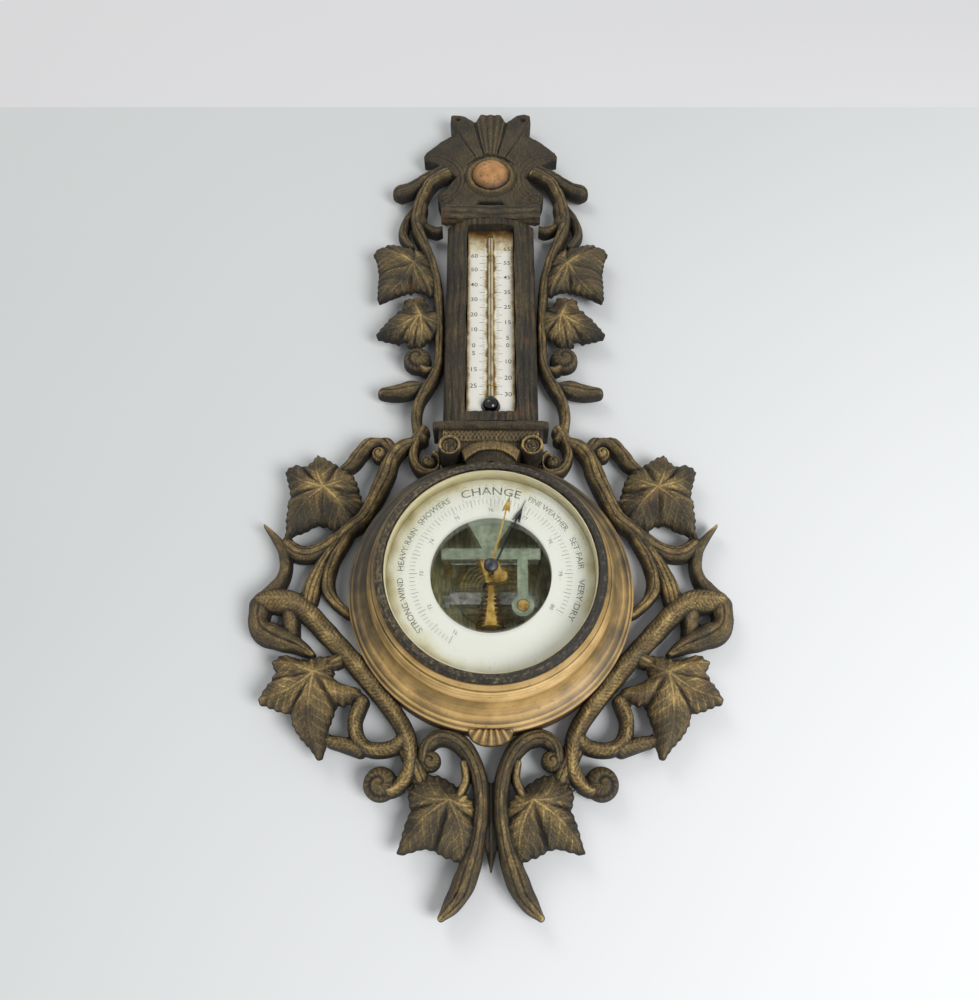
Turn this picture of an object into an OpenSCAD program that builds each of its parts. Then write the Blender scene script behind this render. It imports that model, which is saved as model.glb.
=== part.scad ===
// Carved wall weather instrument: an aneroid barometer below, a thermometer above, in a vine-leaf frame.
// It is drawn lying on its back: x to the right, y up the object, z off the wall, centred on the dial.
// hung() then stands it up: back to +Y, front to -Y, +Z up, with the origin in the hanging hole.

/* [Frame] */
// Height of the hanging hole above the dial centre
hang_height = 480; // [470:1:488]
// Radius of the round wooden base behind the dial
base_r = 115.4; // [112:0.2:118]
// Thickness of the round wooden base
base_t = 25; // [23:0.5:27]
// Thickness of the plank behind the thermometer column
spine_t = 16; // [12:0.5:20]
// Height of the turned ring above the wall
ring_top = 68.3; // [66:0.1:70]
// Height of the main stems above the wall
stem_h = 25; // [20:0.5:30]
// Height of the leaves above the wall
leaf_h = 30; // [24:0.5:34]

/* [Thermometer column] */
// Half width of the column
column_half = 42; // [38:0.5:42.4]
// Lower end of the column
column_low = 145; // [143:0.5:148]
// Upper end of the column
column_high = 369; // [360:0.5:372]
// Front of the column above the wall
column_front = 44; // [40:0.5:46]
// Width of the thermometer plate
plate_w = 43.4; // [40:0.2:46]
// Lower edge of the thermometer plate
plate_low = 155; // [152:0.5:158]
// Upper edge of the thermometer plate
plate_high = 361; // [350:0.5:364]
// Front face of the thermometer plate above the wall
plate_front = 34; // [32:0.5:36]
// Thickness of the thermometer plate
plate_t = 3.6; // [3:0.1:5]
// Radius of the glass tube
tube_r = 2.4; // [2:0.1:3]
// Radius of the thermometer bulb
bulb_r = 7.8; // [6:0.1:8.2]
// Height of the bulb centre above the dial centre
bulb_y = 165; // [164:0.5:170]
// Top of the mercury thread
reading_y = 262; // [200:1:320]

/* [Dial and glass] */
// Front of the bezel above the wall
bezel_top = 80; // [79.5:0.1:82]
// Thickness of the glass
glass_t = 2; // [1.5:0.1:2.2]
// Front face of the dial above the wall
dial_z = 60.8; // [60:0.1:61.5]
// Thickness of the dial plate
dial_t = 0.8; // [0.5:0.1:1]
// Radius of the open centre of the dial
window_r = 47.2; // [44:0.1:48]
// Where the pointer stands, degrees clockwise from the top
pointer_at = 24.5; // [-60:0.5:60]
// Where the set hand stands, degrees clockwise from the top
set_at = 14; // [-60:0.5:60]
// Length of the pointer
pointer_len = 68; // [60:0.5:74]
// Length of the set hand
set_len = 64; // [55:0.5:74]
// Radius of the set-hand knob
knob_r = 5.4; // [4.5:0.1:7]

/* [Movement] */
// Inner radius of the metal case
case_r = 82; // [78:0.1:84]
// Thickness of the case metal
case_t = 0.8; // [0.6:0.05:1]
// Back of the case above the wall
case_back = 12; // [11:0.5:13]
// Thickness of the movement plate
floor_t = 2; // [1.6:0.1:2.4]
// Radius of the vacuum capsule
capsule_r = 29.5; // [26:0.5:30]
// Height of the steel bridge above the wall
bridge_z = 54; // [53.5:0.1:54.5]
// Thickness of the steel bridge
bridge_t = 2; // [1.5:0.1:2.4]
// Radius of the main spring's wire
wire_r = 0.65; // [0.5:0.05:0.8]
// Number of curls of the main spring
curls = 7; // [5:1:8]
// Radius of the main spring at its narrow end
spring_small = 6.5; // [5:0.1:8]
// Radius of the main spring at its wide end
spring_wide = 11; // [9:0.1:11.4]

/* [Fits] */
// Running clearance of a shaft in its bore
run_gap = 0.05; // [0.02:0.01:0.08]
// Clearance between pieces that are let into each other
seat_gap = 0.1; // [0.05:0.05:0.2]
// Clearance between thin metal and the wood round it
wood_gap = 0.3; // [0.2:0.05:0.4]

/* [Hidden] */
$fn = 64;

// Radii that follow the case
bore_r = case_r + case_t + wood_gap;
glass_r = case_r + 2.3;
bezel_r = case_r + 7;
bezel_lip_r = case_r + 0.3;
wire_inner_r = case_r + 0.6;
flange_r = case_r + 6;
flange_screw_r = case_r + 4.2;
dial_r = case_r - 0.4;
floor_r = case_r - 8;
dial_foot_r = case_r - 14;
plate_screw_r = case_r - 16;

// Heights of the stacked pieces of the dial
glass_back = bezel_top - 1.6 - glass_t;
flange_z = ring_top;
flange_top = flange_z + case_t;
spigot_r = glass_r - case_t;
wire_ring_t = 1.5;

// Heights inside the case
floor_z = case_back + case_t;
floor_top = floor_z + floor_t;
capsule_z = floor_top + 1.2;
capsule_t = 6;
collar_top = capsule_z + capsule_t + 2.4;
stud_r = 3;
foot_z = collar_top + 1.7;
strip_t = 1.2;
arbor_r = 0.8;
pulley_r = 1.3;
pulley_z = 44.6;
cock_top = bridge_z;
cock_t = 1.6;
cock_low_z = 42;

// Places of the lever, its hinge, the rocking shaft and the pillars
hinge_y = -40;
hinge_z = 20;
hinge_r = 1.2;
bar_z = 48.8;
bar_front = -6;
wall_y = -36.8;
tip_y = 11.5;
shaft_y = 18;
shaft_z = 32.5;
shaft_r = 1.6;
link_x = 3.3;
chain_x = pulley_r + 0.3;
chain_z = pulley_z + 0.9;
pillar_x = 35;
pillar_r = 3.2;
eye_x = 24.8;
eye_y = -24;
spring_z = 36.4;
spring_from = -11.6;
spring_to = wall_y + 0.45 + wire_r;

// Colours as the photograph shows them
wood = "#5d4c30";
worn_wood = "#8a6f45";
bare_wood = "#b9824f";
blackened = "#2b2620";
silvered = "#d9d6c2";
cream = "#d8cda6";
brass = "#b8923f";
steel = "#8c9384";
tin = "#9b9070";

// Stands the instrument up, with the origin in the hanging hole
module hung() {
    translate([0, 0, -hang_height]) rotate([90, 0, 0]) children();
}

// Copies its children to the left as well
module both() {
    children();
    mirror([1, 0, 0]) children();
}

// A point of a smooth curve that passes through b and c, t from 0 to 1
function between(a, b, c, d, t) =
    0.5 * (2 * b + (c - a) * t + (2 * a - 5 * b + 4 * c - d) * t * t + (3 * b - a - 3 * c + d) * t * t * t);

// All points of the smooth curve, n steps to each stretch
function smooth(p, n) = let (last = len(p) - 1) [
    for (i = [0:last - 1], k = [0:n - 1])
        between(p[max(i - 1, 0)], p[i], p[i + 1], p[min(i + 2, last)], k / n),
    p[last]
];

// Points along a round arc
function arc(c, r, from, to, n) = [for (i = [0:n]) let (a = from + (to - from) * i / n) c + r * [cos(a), sin(a)]];

// Cross-section of a carved stem: flat back, undercut sides, rounded front
function stem_section(w, h) = [[-0.40 * w, 0], [0.40 * w, 0], [0.5 * w, 0.5 * h], [0.24 * w, h], [-0.24 * w, h],
    [-0.5 * w, 0.5 * h]];

// A carved stem through [x, y, width] points, its free ends rounded where ends says so
module stem(points, h = stem_h, ends = [0, 0], steps = 1) {
    path = smooth(points, steps);
    n = len(path);
    across = [for (i = [0:n - 1]) let (d = path[min(i + 1, n - 1)] - path[max(i - 1, 0)], l = norm([d[0], d[1]]))
        [d[1], -d[0]] / l];
    rings = [for (i = [0:n - 1], s = stem_section(path[i][2], h))
        [path[i][0] + across[i][0] * s[0], path[i][1] + across[i][1] * s[0], s[1]]];
    polyhedron(rings, concat(
        [[for (k = [5:-1:0]) k]],
        [for (i = [0:n - 2], k = [0:5]) let (a = 6 * i + k, b = 6 * i + (k + 1) % 6) [a, b, b + 6, a + 6]],
        [[for (k = [0:5]) 6 * (n - 1) + k]]));
    if (ends[0] > 0) bud(path[0][0], path[0][1], path[0][2] * ends[0] / 2, 0.98 * h, 8);
    if (ends[1] > 0) bud(path[n - 1][0], path[n - 1][1], path[n - 1][2] * ends[1] / 2, 0.98 * h, 8);
}

// A round knob of carved wood, as at the end of a tendril
module bud(x, y, r, h = stem_h, sides = 12) {
    hull() translate([x, y, 0]) {
        cylinder(r = 0.85 * r, h = 0.5 * h, $fn = sides);
        translate([0, 0, 0.5 * h]) cylinder(r = r, h = 0.1 * h, $fn = sides);
        cylinder(r = 0.5 * r, h = h, $fn = sides);
    }
}

// A knob given as [x, y, radius]
module knob(at, h) {
    bud(at[0], at[1], at[2], h, 16);
}

// A carved leaf: its edge points are [x, y, rise], where a lobe's vein rises by 1 and a notch by 0
module leaf(middle, edge, thick, high) {
    n = len(edge);
    centre = [middle[0], middle[1]];
    spread = [1, 0.62, 0.25];
    rise = [0, 0.75, 1];
    top = [for (k = [0:2], e = edge) let (p = [e[0], e[1]], q = centre + spread[k] * (p - centre))
        [q[0], q[1], thick + (high - thick) * rise[k] * (0.55 + 0.45 * e[2])]];
    back = [for (e = edge) [centre[0] + 0.93 * (e[0] - centre[0]), centre[1] + 0.93 * (e[1] - centre[1]), 4]];
    polyhedron(concat(top, back, [[centre[0], centre[1], high - 2.5], [centre[0], centre[1], 4]]), concat(
        [for (k = [0:1], i = [0:n - 1]) let (a = k * n + i, b = k * n + (i + 1) % n) [a, a + n, b + n, b]],
        [for (i = [0:n - 1]) [2 * n + i, 4 * n, 2 * n + (i + 1) % n]],
        [for (i = [0:n - 1]) let (j = (i + 1) % n) [3 * n + i, i, j, 3 * n + j]],
        [for (i = [0:n - 1]) [4 * n + 1, 3 * n + i, 3 * n + (i + 1) % n]]));
}

// Stems of the right half of the wreath, each [x, y, width], from the column down
trunk = [[61, 149, 14], [67, 138, 14], [77.5, 134, 14], [86.5, 123, 15], [91.5, 107, 17], [99, 86, 15],
    [107.5, 67, 14], [116, 58, 14], [127, 48, 13]];
scroll = [[65, 138, 9], [68, 123, 9], [61, 109, 9], [49, 107, 8], [43, 116, 8], [49, 125, 7]];
outer_arch = [[131, 109, 10], [122, 117, 13], [115.5, 127, 14], [107, 136.5, 14], [96, 139.5, 14],
    [88, 131, 13]];
leaf_stem = [[112, 60, 13], [128, 48, 14], [140, 39, 14], [151, 34, 15], [162, 34.5, 15], [171, 42, 11]];
drop_stem = [[131, 42, 11], [139, 28, 13], [145, 13, 15], [149, -1, 16], [150, -12, 14]];
ring_tendril = [[119, 52, 9], [125, 40, 9], [131, 28, 10], [134.5, 14, 11], [134, 2, 11], [129, -7, 10],
    [121, -14.5, 9], [115, -19, 8]];
thorn = [[192, 59, 3], [183, 49, 7], [175, 38, 10], [171.5, 24, 11], [173, 12, 12], [179, 2, 15],
    [186, -8, 18]];
under_knot = [[188, -12, 20], [189, -24, 18], [184, -33, 20], [173, -37, 21], [161, -42, 16],
    [151, -47, 11], [143, -52, 5]];
knot_web = [[163, -16, 16], [162, -30, 14], [160, -38, 12]];
main_stem = [[186, -8, 17], [174, -8, 22], [161, -10, 19], [149, -18, 17], [137, -30, 17], [125, -42, 17],
    [113, -54, 16], [101, -67, 16], [89, -81, 15], [77, -96, 15], [67, -111, 14], [62, -126, 13],
    [61, -138, 13], [66, -149, 12], [75, -156, 11], [84, -153, 9]];
leaf_b_stem = [[114, -53, 12], [128, -60, 12], [141, -66, 12]];
low_loop = [[101, -90, 12], [105.5, -104, 12], [103, -117, 12], [95, -124.5, 12], [84, -126, 12],
    [73, -123, 12], [66, -116, 11]];
low_branch = [[126, -119, 10], [112, -122, 12], [100, -126, 12]];

// Stems of the tail, right half
tail_horn = [[35.5, -242, 6], [28.5, -234, 13], [21.5, -223, 16.5], [15.5, -209, 16.5], [10.5, -191, 13],
    [7.5, -171, 11.5], [8, -152, 12], [12.5, -137, 13], [20, -125, 14], [30, -118, 14], [41, -117.5, 13],
    [49, -124, 12], [51, -133, 10]];
tail_web = [[64, -127, 14], [58, -137, 15], [53, -148, 14]];
leaf_c_stem = [[20, -136, 7], [19, -148, 7], [24, -160, 7]];
tail_wedge = [[-7, -158, 0], [-6, -190, 0], [0, -214, 0], [6, -190, 0], [7, -158, 0]];

// Stems of the right side vine
side_stem = [[61, 141, 12], [65.5, 153, 10], [67, 166, 10], [65, 179, 10], [59, 192, 12], [52, 206, 11],
    [48.5, 220, 10], [48, 245, 9], [48.5, 268, 9], [50, 290, 10], [52, 312, 10], [57, 334, 11],
    [64, 354, 12], [71, 372, 13], [74, 390, 13], [72.5, 405, 13], [69, 420, 13], [62, 436, 13],
    [50, 448, 12], [40, 452, 12]];
low_twig = [[62, 197, 9], [72, 195, 17], [85, 191, 15], [98, 190.5, 11]];
curl_twig = [[51, 215.5, 8], [59, 213.5, 8], [69, 219.5, 9]];
top_twig = [[50, 456, 12], [62, 449, 13], [74, 438, 14], [84, 430.5, 16], [92, 427.5, 17]];
inner_hook = [[69, 408, 11], [70, 392, 11], [64, 381.5, 10], [54, 376.5, 9], [47, 379.5, 7]];
outer_bulge = [[73, 411, 10], [83.5, 393, 10], [87.5, 374.5, 10], [79.5, 359, 9]];

// Leaves of the right half: the last number is 1 where a vein runs out to a tip, 0 in a notch
leaf_a = [[152, 124.4, 1], [145.7, 122, 0.4], [137.8, 117, 0.3], [124, 109, 0.6], [117, 100, 0.3],
    [113, 89, 0.4], [110.5, 79, 0.6], [112, 70.5, 0.8], [116, 61.5, 0.3], [118, 56, 0.8], [126, 54, 0.5],
    [134, 53.5, 0.6], [139, 57.5, 0], [148.7, 57.5, 0.1], [156.6, 52.5, 0.4], [164.5, 49.6, 0.6],
    [173.4, 44.6, 1], [173, 53.5, 0.6], [174, 63.4, 0.5], [173.4, 73.3, 0.3], [174.4, 80.3, 0.5],
    [172.5, 86.2, 0], [174.4, 94.2, 0.4], [178.4, 108, 1], [174.4, 113, 0.5], [167.5, 115.5, 0.6],
    [160, 114.5, 0]];
leaf_b = [[127.4, -55.5, 0.6], [124, -63.4, 0.3], [123, -72.4, 0.2], [113, -77.3, 0.5],
    [102.6, -80.3, 0.5], [99.6, -87.7, 1], [107, -90.2, 0.6], [114.5, -94.2, 0.5], [120, -93.2, 0.1],
    [122, -102, 0], [125.4, -114, 0.5], [126, -125, 0.6], [129.8, -134.8, 1], [137.8, -126, 0.5],
    [146.7, -117, 0.6], [152.6, -108, 0.4], [155.6, -100.1, 0], [163.5, -98.1, 0.4], [173.4, -94.2, 0.6],
    [181, -90.2, 1], [174.4, -75.3, 0.4], [170, -67.4, 0], [173.4, -60.5, 1], [169.5, -55.5, 0.6],
    [163.5, -53.5, 0.7], [148.7, -56.5, 0.1], [135.8, -54, 0.4]];
leaf_c = [[62, -156, 0.8], [52, -147, 0.3], [40, -145, 0.6], [30, -150, 0.2], [19, -158, 0.3],
    [12, -167, 0.8], [11, -180, 0.5], [14, -195, 0.5], [20, -206, 1], [30, -203.5, 0.6], [35, -202, 0.4],
    [42, -198, 0], [50, -197, 0.4], [58, -199, 0.5], [68, -200.5, 1], [66, -190, 0.6], [63.5, -180, 0.3],
    [60, -170, 0], [61.5, -164, 0.4]];
leaf_d = [[85.2, 353.8, 0.3], [73.3, 351.8, 0.6], [62.4, 341, 0], [56.5, 327, 0.5], [53, 309.2, 0.3],
    [56.5, 295.3, 0.9], [63.4, 299.3, 0.7], [75.3, 301.8, 0.4], [84.2, 298.3, 0.1], [95, 293.4, 0.3],
    [107, 288.4, 1], [108.5, 305.3, 0.6], [108.5, 320, 0.5], [111, 336, 0.4], [114.5, 346, 1],
    [107, 354.8, 0.6], [96, 357.3, 0.7]];
leaf_e = [[63.4, 293.4, 0.6], [59.5, 286.4, 0], [51.5, 281.5, 0.6], [46, 267.6, 0.4], [46.6, 257.7, 0.5],
    [53.5, 247.8, 0.6], [59.5, 243.8, 0.2], [66.4, 237, 0.8], [77.3, 238.4, 0.7], [78.3, 244.8, 0],
    [89.2, 243.8, 0.4], [101, 246.3, 0.5], [107.5, 251.2, 1], [97, 267.6, 0.5], [89.2, 278, 0.4],
    [83.7, 282.5, 0.1], [81.8, 291.4, 0.7], [70.4, 294.4, 0.8]];

// Middles of the leaves and the height of their edges
leaf_a_centre = [142, 89];
leaf_b_centre = [150, -76.5];
leaf_c_centre = [37, -171.5];
leaf_d_centre = [81, 331];
leaf_e_centre = [65, 262.5];
leaf_edge = 17;

// Knobs of the right half, each [x, y, radius]
scroll_knob = [55, 116, 6.5];
arch_knob = [98, 126, 7];
main_knob = [83.5, -151, 13];
tail_knob = [46, -134.5, 9];
curl_knob = [68, 225, 13];
hook_knob = [71, 384.5, 9];

// The region where the wreath and the tail are carved from separate boards, right half
tail_joint = [[0, -100, 0], [57, -100, 0], [57, -146, 0], [60, -150, 0], [62, -160, 0], [70, -166, 0], [70, -260, 0],
    [0, -260, 0]];
side_joint_y = 140;

// The radius of the base that the wreath's points were measured round, and how they follow a larger one
measured_base_r = 115.4;
function outward(points) = [for (p = points) let (k = 1 + (base_r - measured_base_r) / norm([p[0], p[1]]))
    [k * p[0], k * p[1], p[2]]];

// Points without their third number
function flat(points) = [for (p = points) [p[0], p[1]]];

// What the carved stems make room for: the base and the bracket
module stem_room() {
    translate([0, 0, -1]) cylinder(r = base_r + 2 * seat_gap, h = 90, $fn = 90);
    translate([-bracket_half - seat_gap, 100, -1]) cube([2 * (bracket_half + seat_gap), 50, 90]);
}

module wreath_half() {
    difference() {
        union() {
            stem(outward(trunk));
            stem(outward(scroll), stem_h + 1, [0, 1]);
            knob(outward([scroll_knob])[0], stem_h + 2);
            stem(outward(outer_arch), stem_h - 2, [1, 1]);
            knob(outward([arch_knob])[0], stem_h - 1);
            stem(outward(leaf_stem), stem_h - 3, [0, 1]);
            stem(outward(drop_stem), stem_h - 4, [0, 1]);
            stem(outward(ring_tendril), stem_h - 2, [0, 1]);
            stem(outward(thorn), stem_h - 3, [1, 0]);
            stem(outward(under_knot), stem_h - 2, [0, 1]);
            stem(outward(knot_web), stem_h - 5);
            stem(outward(main_stem), stem_h + 1, [1, 0]);
            knob(outward([main_knob])[0], stem_h);
            stem(outward(leaf_b_stem), stem_h - 3);
            stem(outward(low_loop), stem_h - 2);
            stem(outward(low_branch), stem_h - 5);
            leaf(outward([leaf_a_centre])[0], outward(leaf_a), leaf_edge, leaf_h + 2);
            leaf(outward([leaf_b_centre])[0], outward(leaf_b), leaf_edge, leaf_h + 2);
        }
        stem_room();
        translate([0, side_joint_y, -1]) cube([200, 60, 60]);
        translate([0, 0, -1]) linear_extrude(60) polygon(flat(outward(tail_joint)));
    }
}

module wreath_right() {
    color(wood) hung() wreath_half();
}

module wreath_left() {
    color(wood) hung() mirror([1, 0, 0]) wreath_half();
}

module tail_carving() {
    color(wood) hung() intersection() {
        difference() {
            union() {
                linear_extrude(stem_h - 9) polygon(flat(outward(tail_wedge)));
                both() {
                    stem(outward(tail_horn), stem_h + 1, [1, 1]);
                    knob(outward([tail_knob])[0], stem_h);
                    stem(outward(tail_web), stem_h - 4, [0.9, 0.9]);
                    stem(outward(leaf_c_stem), stem_h - 2);
                    leaf(outward([leaf_c_centre])[0], outward(leaf_c), leaf_edge - 1, leaf_h);
                }
            }
            stem_room();
        }
        translate([0, 0, -1]) linear_extrude(60) both() polygon(flat(outward(tail_joint)));
    }
}

module side_half() {
    difference() {
        union() {
            stem(outward(trunk));
            stem(side_stem);
            stem(low_twig, stem_h - 3, [0, 1]);
            stem(curl_twig, stem_h - 5);
            knob(curl_knob, stem_h - 1);
            stem(top_twig, stem_h - 2, [0, 1]);
            stem(inner_hook, stem_h - 3, [1, 1]);
            stem(outer_bulge, stem_h - 6, [1, 1]);
            knob(hook_knob, stem_h + 1);
            leaf(leaf_d_centre, leaf_d, leaf_edge, leaf_h + 2);
            leaf(leaf_e_centre, leaf_e, leaf_edge - 1, leaf_h + 1);
        }
        stem_room();
        translate([0, side_joint_y - 250, -1]) cube([250, 250, 60]);
        translate([0, side_joint_y, -1]) cube([column_half + seat_gap, spine_high - side_joint_y + 2, 60]);
        translate([0, beam_y - beam_r, -1]) cube([beam_half + seat_gap, 2 * beam_r, 60]);
        translate([0, 0, -1]) linear_extrude(60) offset(delta = seat_gap) polygon(crest_edge());
    }
}

module side_vine_right() {
    color(wood) hung() side_half();
}

module side_vine_left() {
    color(wood) hung() mirror([1, 0, 0]) side_half();
}

// The round board behind the dial with the plank that carries the column
module base_board() {
    color(wood) hung() difference() {
        union() {
            cylinder(r = base_r, h = base_t);
            translate([-spine_half, 90, 0]) cube([2 * spine_half, spine_high - 90, spine_t]);
        }
        translate([0, 0, -1]) cylinder(r = bore_r, h = base_t + 2);
        translate([0, 0, base_t]) cylinder(r = base_r + 1, h = 10);
    }
}
spine_half = 36;
spine_high = 400;

// The turned ring round the dial, with the small carved shell at its foot
module turned_ring() {
    profile = concat(
        [[ring_drawn[0], 0], [0, 0], [0, 1.6]],
        arc([1.6, 1.6], 1.6, 180, 90, 4),
        [[3.4, 4.2]],
        arc([5.2, 6.6], 2.4, 220, 90, 5),
        arc([5.7, 25], 13.2, 288, 360, 8),
        arc([21.4, 27.5], 3.4, 200, 85, 5),
        arc([22.2, 33.6], 2.4, 260, 100, 5),
        arc([22.8, 38.2], 2, 260, 90, 5),
        [[23.4, ring_drawn[1]], ring_drawn]);
    shell = concat([[-shell_half, 2.6], [shell_half, 2.6]],
        [for (a = [0:-22.5:-180]) [shell_half * cos(a), shell_long * sin(a) - 0.6]]);
    color(worn_wood) hung() difference() {
        union() {
            rotate_extrude() polygon(ring_fit(profile));
            translate([0, -base_r, base_t]) linear_extrude(5) polygon(shell);
        }
        for (a = [0:2]) rotate(90 + 120 * a) translate([flange_screw_r, 0, ring_top - screw_depth]) {
            cylinder(r = screw_r + run_gap, h = screw_depth + 1);
        }
    }
}
screw_r = 1.3;
screw_depth = 10;
shell_half = 17;
shell_long = 9.6;

// Puts a profile drawn inwards from the base's rim and upwards from its face to the ring's real width and height
ring_drawn = [32.3, 43.3];
function ring_fit(profile, g = 0) = [for (p = profile) [
    base_r + g - p[0] * (base_r - bore_r) / ring_drawn[0], base_t + p[1] * (ring_top - base_t) / ring_drawn[1]]];

// Column of carved bark that carries the thermometer
module column() {
    bark = [[-1, 0.30], [-0.97, 0.62], [-0.82, 0.72], [-0.76, 0.84], [-0.62, 0.86], [-0.56, 1], [0.56, 1], [0.62, 0.86],
        [0.76, 0.84], [0.82, 0.72], [0.97, 0.62], [1, 0.30]];
    depth = column_front - spine_t;
    outline = concat([[-column_half, spine_t]], [for (b = bark) [column_half * b[0], spine_t + depth * b[1]]],
        [[column_half, spine_t]]);
    color(wood) hung() difference() {
        translate([0, column_high, 0]) rotate([90, 0, 0]) linear_extrude(column_high - column_low) polygon(outline);
        plate_pocket();
        translate([0, bulb_y, plate_front + 2]) sphere(r = bulb_r + 0.8);
    }
}

// Pocket with wavy sides that the thermometer plate lies in
module plate_pocket() {
    waves = [0.1, 1.1, 0.2, 0.9, 0.1, 1.2, 0.3, 0.8, 0.1, 1, 0.2];
    half = plate_w / 2 + wood_gap;
    step = (plate_high - plate_low + 2 * wood_gap) / 10;
    right = smooth([for (k = [0:10]) [half + waves[k], plate_low - wood_gap + k * step]], 3);
    n = len(right);
    translate([0, 0, plate_front - plate_t]) linear_extrude(30)
        polygon(concat(right, [for (k = [n - 1:-1:0]) [-right[k][0], right[k][1]]]));
}

// Log that lies across the top of the column
module column_beam() {
    bands = [0.62, 0.72];
    half = beam_half;
    r = beam_r;
    color(wood) hung() difference() {
        translate([0, beam_y, beam_z]) rotate([0, 90, 0]) rotate_extrude() polygon([
            [0, -half], [0.86 * r, -half], [0.95 * r, -0.9 * half], [0.9 * r, -bands[1] * half],
            [r, -(bands[1] - 0.02) * half], [r, -(bands[0] + 0.02) * half], [0.9 * r, -bands[0] * half],
            [0.96 * r, -0.3 * half], [0.9 * r, 0], [0.96 * r, 0.3 * half],
            [0.9 * r, bands[0] * half], [r, (bands[0] + 0.02) * half], [r, (bands[1] - 0.02) * half],
            [0.9 * r, bands[1] * half], [0.95 * r, 0.9 * half], [0.86 * r, half], [0, half]]);
        translate([-60, beam_y - 20, spine_t - 30]) cube([120, 40, 30]);
        translate([-60, column_high - 30, 0]) cube([120, 30, 60]);
    }
    color(wood) hung() translate([-spine_half, column_high, spine_t]) cube([2 * spine_half, 20, beam_z - spine_t - 6]);
}
beam_y = 378;
beam_z = 37;
beam_r = 10;
beam_half = 48;

// Bracket with two log ends under the column
module bracket() {
    h = 46;
    color(wood) hung() difference() {
        union() {
            translate([-bracket_half, 116, spine_t]) cube([2 * bracket_half, column_low - 116, h - 6 - spine_t]);
            translate([-ledge_half, column_low - 8, spine_t]) cube([2 * ledge_half, 8, h - spine_t]);
            translate([-40, 126, spine_t]) cube([80, 9, h - spine_t + 1]);
            translate([0, 0, spine_t]) linear_extrude(h - 4 - spine_t)
                polygon(concat([[26, 118], [-26, 118]], arc([0, 122], 26, 206, 334, 10)));
            for (s = [-1, 1]) translate([s * 35, 119.5, spine_t]) {
                cylinder(r = 9.3, h = h - spine_t + 2);
                cylinder(r = 6.6, h = h - spine_t + 3.2);
            }
        }
        ring_room();
        translate([-50, 60, -1]) cube([100, 60, base_t + 1 + seat_gap]);
    }
}
bracket_half = 45;
ledge_half = 50;

// What the bracket makes room for: the base board and the turned ring
module ring_room() {
    outer = [[0, 4], [2.6, 9], [5.4, 13], [17.4, 21], [17.8, 29], [19.4, 35], [20, 41], [23.4, 65]];
    rotate_extrude() polygon(concat([[0, -1], [base_r + seat_gap, -1]], ring_fit(outer, seat_gap), [[0, 90]]));
}

// Outline of the crest, right half then left half
crest_right = [[0, 530], [11.4, 528.6], [13.4, 524.6], [14.8, 520.7], [20.8, 522.7], [27.2, 528],
    [36, 529.6], [42, 529], [42.6, 519.7], [41.6, 509.3], [39.6, 502.4], [44, 499.4], [51.5, 494],
    [61.4, 484], [67.3, 477.6], [69.3, 472.7], [68.8, 466.7], [63.8, 465.3], [57.9, 461.8], [49, 457],
    [35.6, 443], [47.5, 426.2], [53.4, 421.2], [53.4, 412.8], [51, 403.4], [50, 400], [17, 400],
    [11.4, 409]];
function crest_edge() = concat(crest_right,
    [for (k = [len(crest_right) - 1:-1:1]) [-crest_right[k][0], crest_right[k][1]]]);

// The carved crest: a shield with a fan of ribs above it and a rim round the boss
module crest() {
    color(wood) hung() difference() {
        union() {
            linear_extrude(crest_t) polygon(crest_edge());
            for (a = [-4:4]) hull() {
                peg([3 * a, boss_y + 28], 3, 4);
                peg([(abs(a) > 2 ? 11 : 9) * a, 518 - 1.5 * abs(a) * abs(a)], 4.6, 2);
            }
            both() hull() {
                peg(wing_high, 6, 2);
                peg(wing_tip, 5.5, 2);
                peg(wing_low, 6, 4);
            }
            both() hull() {
                peg(foot_top, 8, 3);
                peg(foot_end, 8, 1);
            }
            translate([0, boss_y, 0]) cylinder(r = boss_r + 6.5, h = crest_t + 7, $fn = 40);
        }
        translate([0, boss_y, crest_t]) cylinder(r = boss_r + seat_gap, h = 20, $fn = 60);
        translate([-spine_half - seat_gap, 380, -1]) cube([2 * (spine_half + seat_gap), spine_high - 380 + seat_gap, 60]);
        translate([0, hang_height, -1]) cylinder(r = 7, h = 15, $fn = 32);
        hanger_blank(seat_gap);
        for (s = [-1, 1]) translate([s * hanger_screw_x, hang_height, 0]) cylinder(r = 1.4, h = 14, $fn = 20);
    }
}
crest_t = 22;
boss_y = 441;
boss_r = 18.5;

// Corners of the wings and the feet
wing_high = [30, 486];
wing_tip = [62, 472];
wing_low = [30, 456];
foot_top = [25, 440];
foot_end = [45, 410];

// A round peg of the crest's relief, rise above its face
module peg(at, r, rise) {
    translate([at[0], at[1], 0]) cylinder(r = r, h = crest_t + rise, $fn = 10);
}

// The round boss in the crest
module crest_boss() {
    edge = 5;
    rise = 9.5;
    round_r = (boss_r * boss_r + rise * rise) / (2 * rise);
    color(bare_wood) hung() translate([0, boss_y, crest_t]) rotate_extrude()
        polygon(concat([[0, 0], [boss_r, 0]], arc([0, edge + rise - round_r], round_r, acos(boss_r / round_r), 90, 9)));
}

// Brass plate let into the back of the crest, with the hanging hole
module hanger_blank(grow = 0) {
    translate([0, hang_height, -1]) linear_extrude(3 + grow) {
        square([34 + 2 * grow, 13 + 2 * grow], center = true);
        circle(r = 11 + grow);
    }
}

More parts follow.
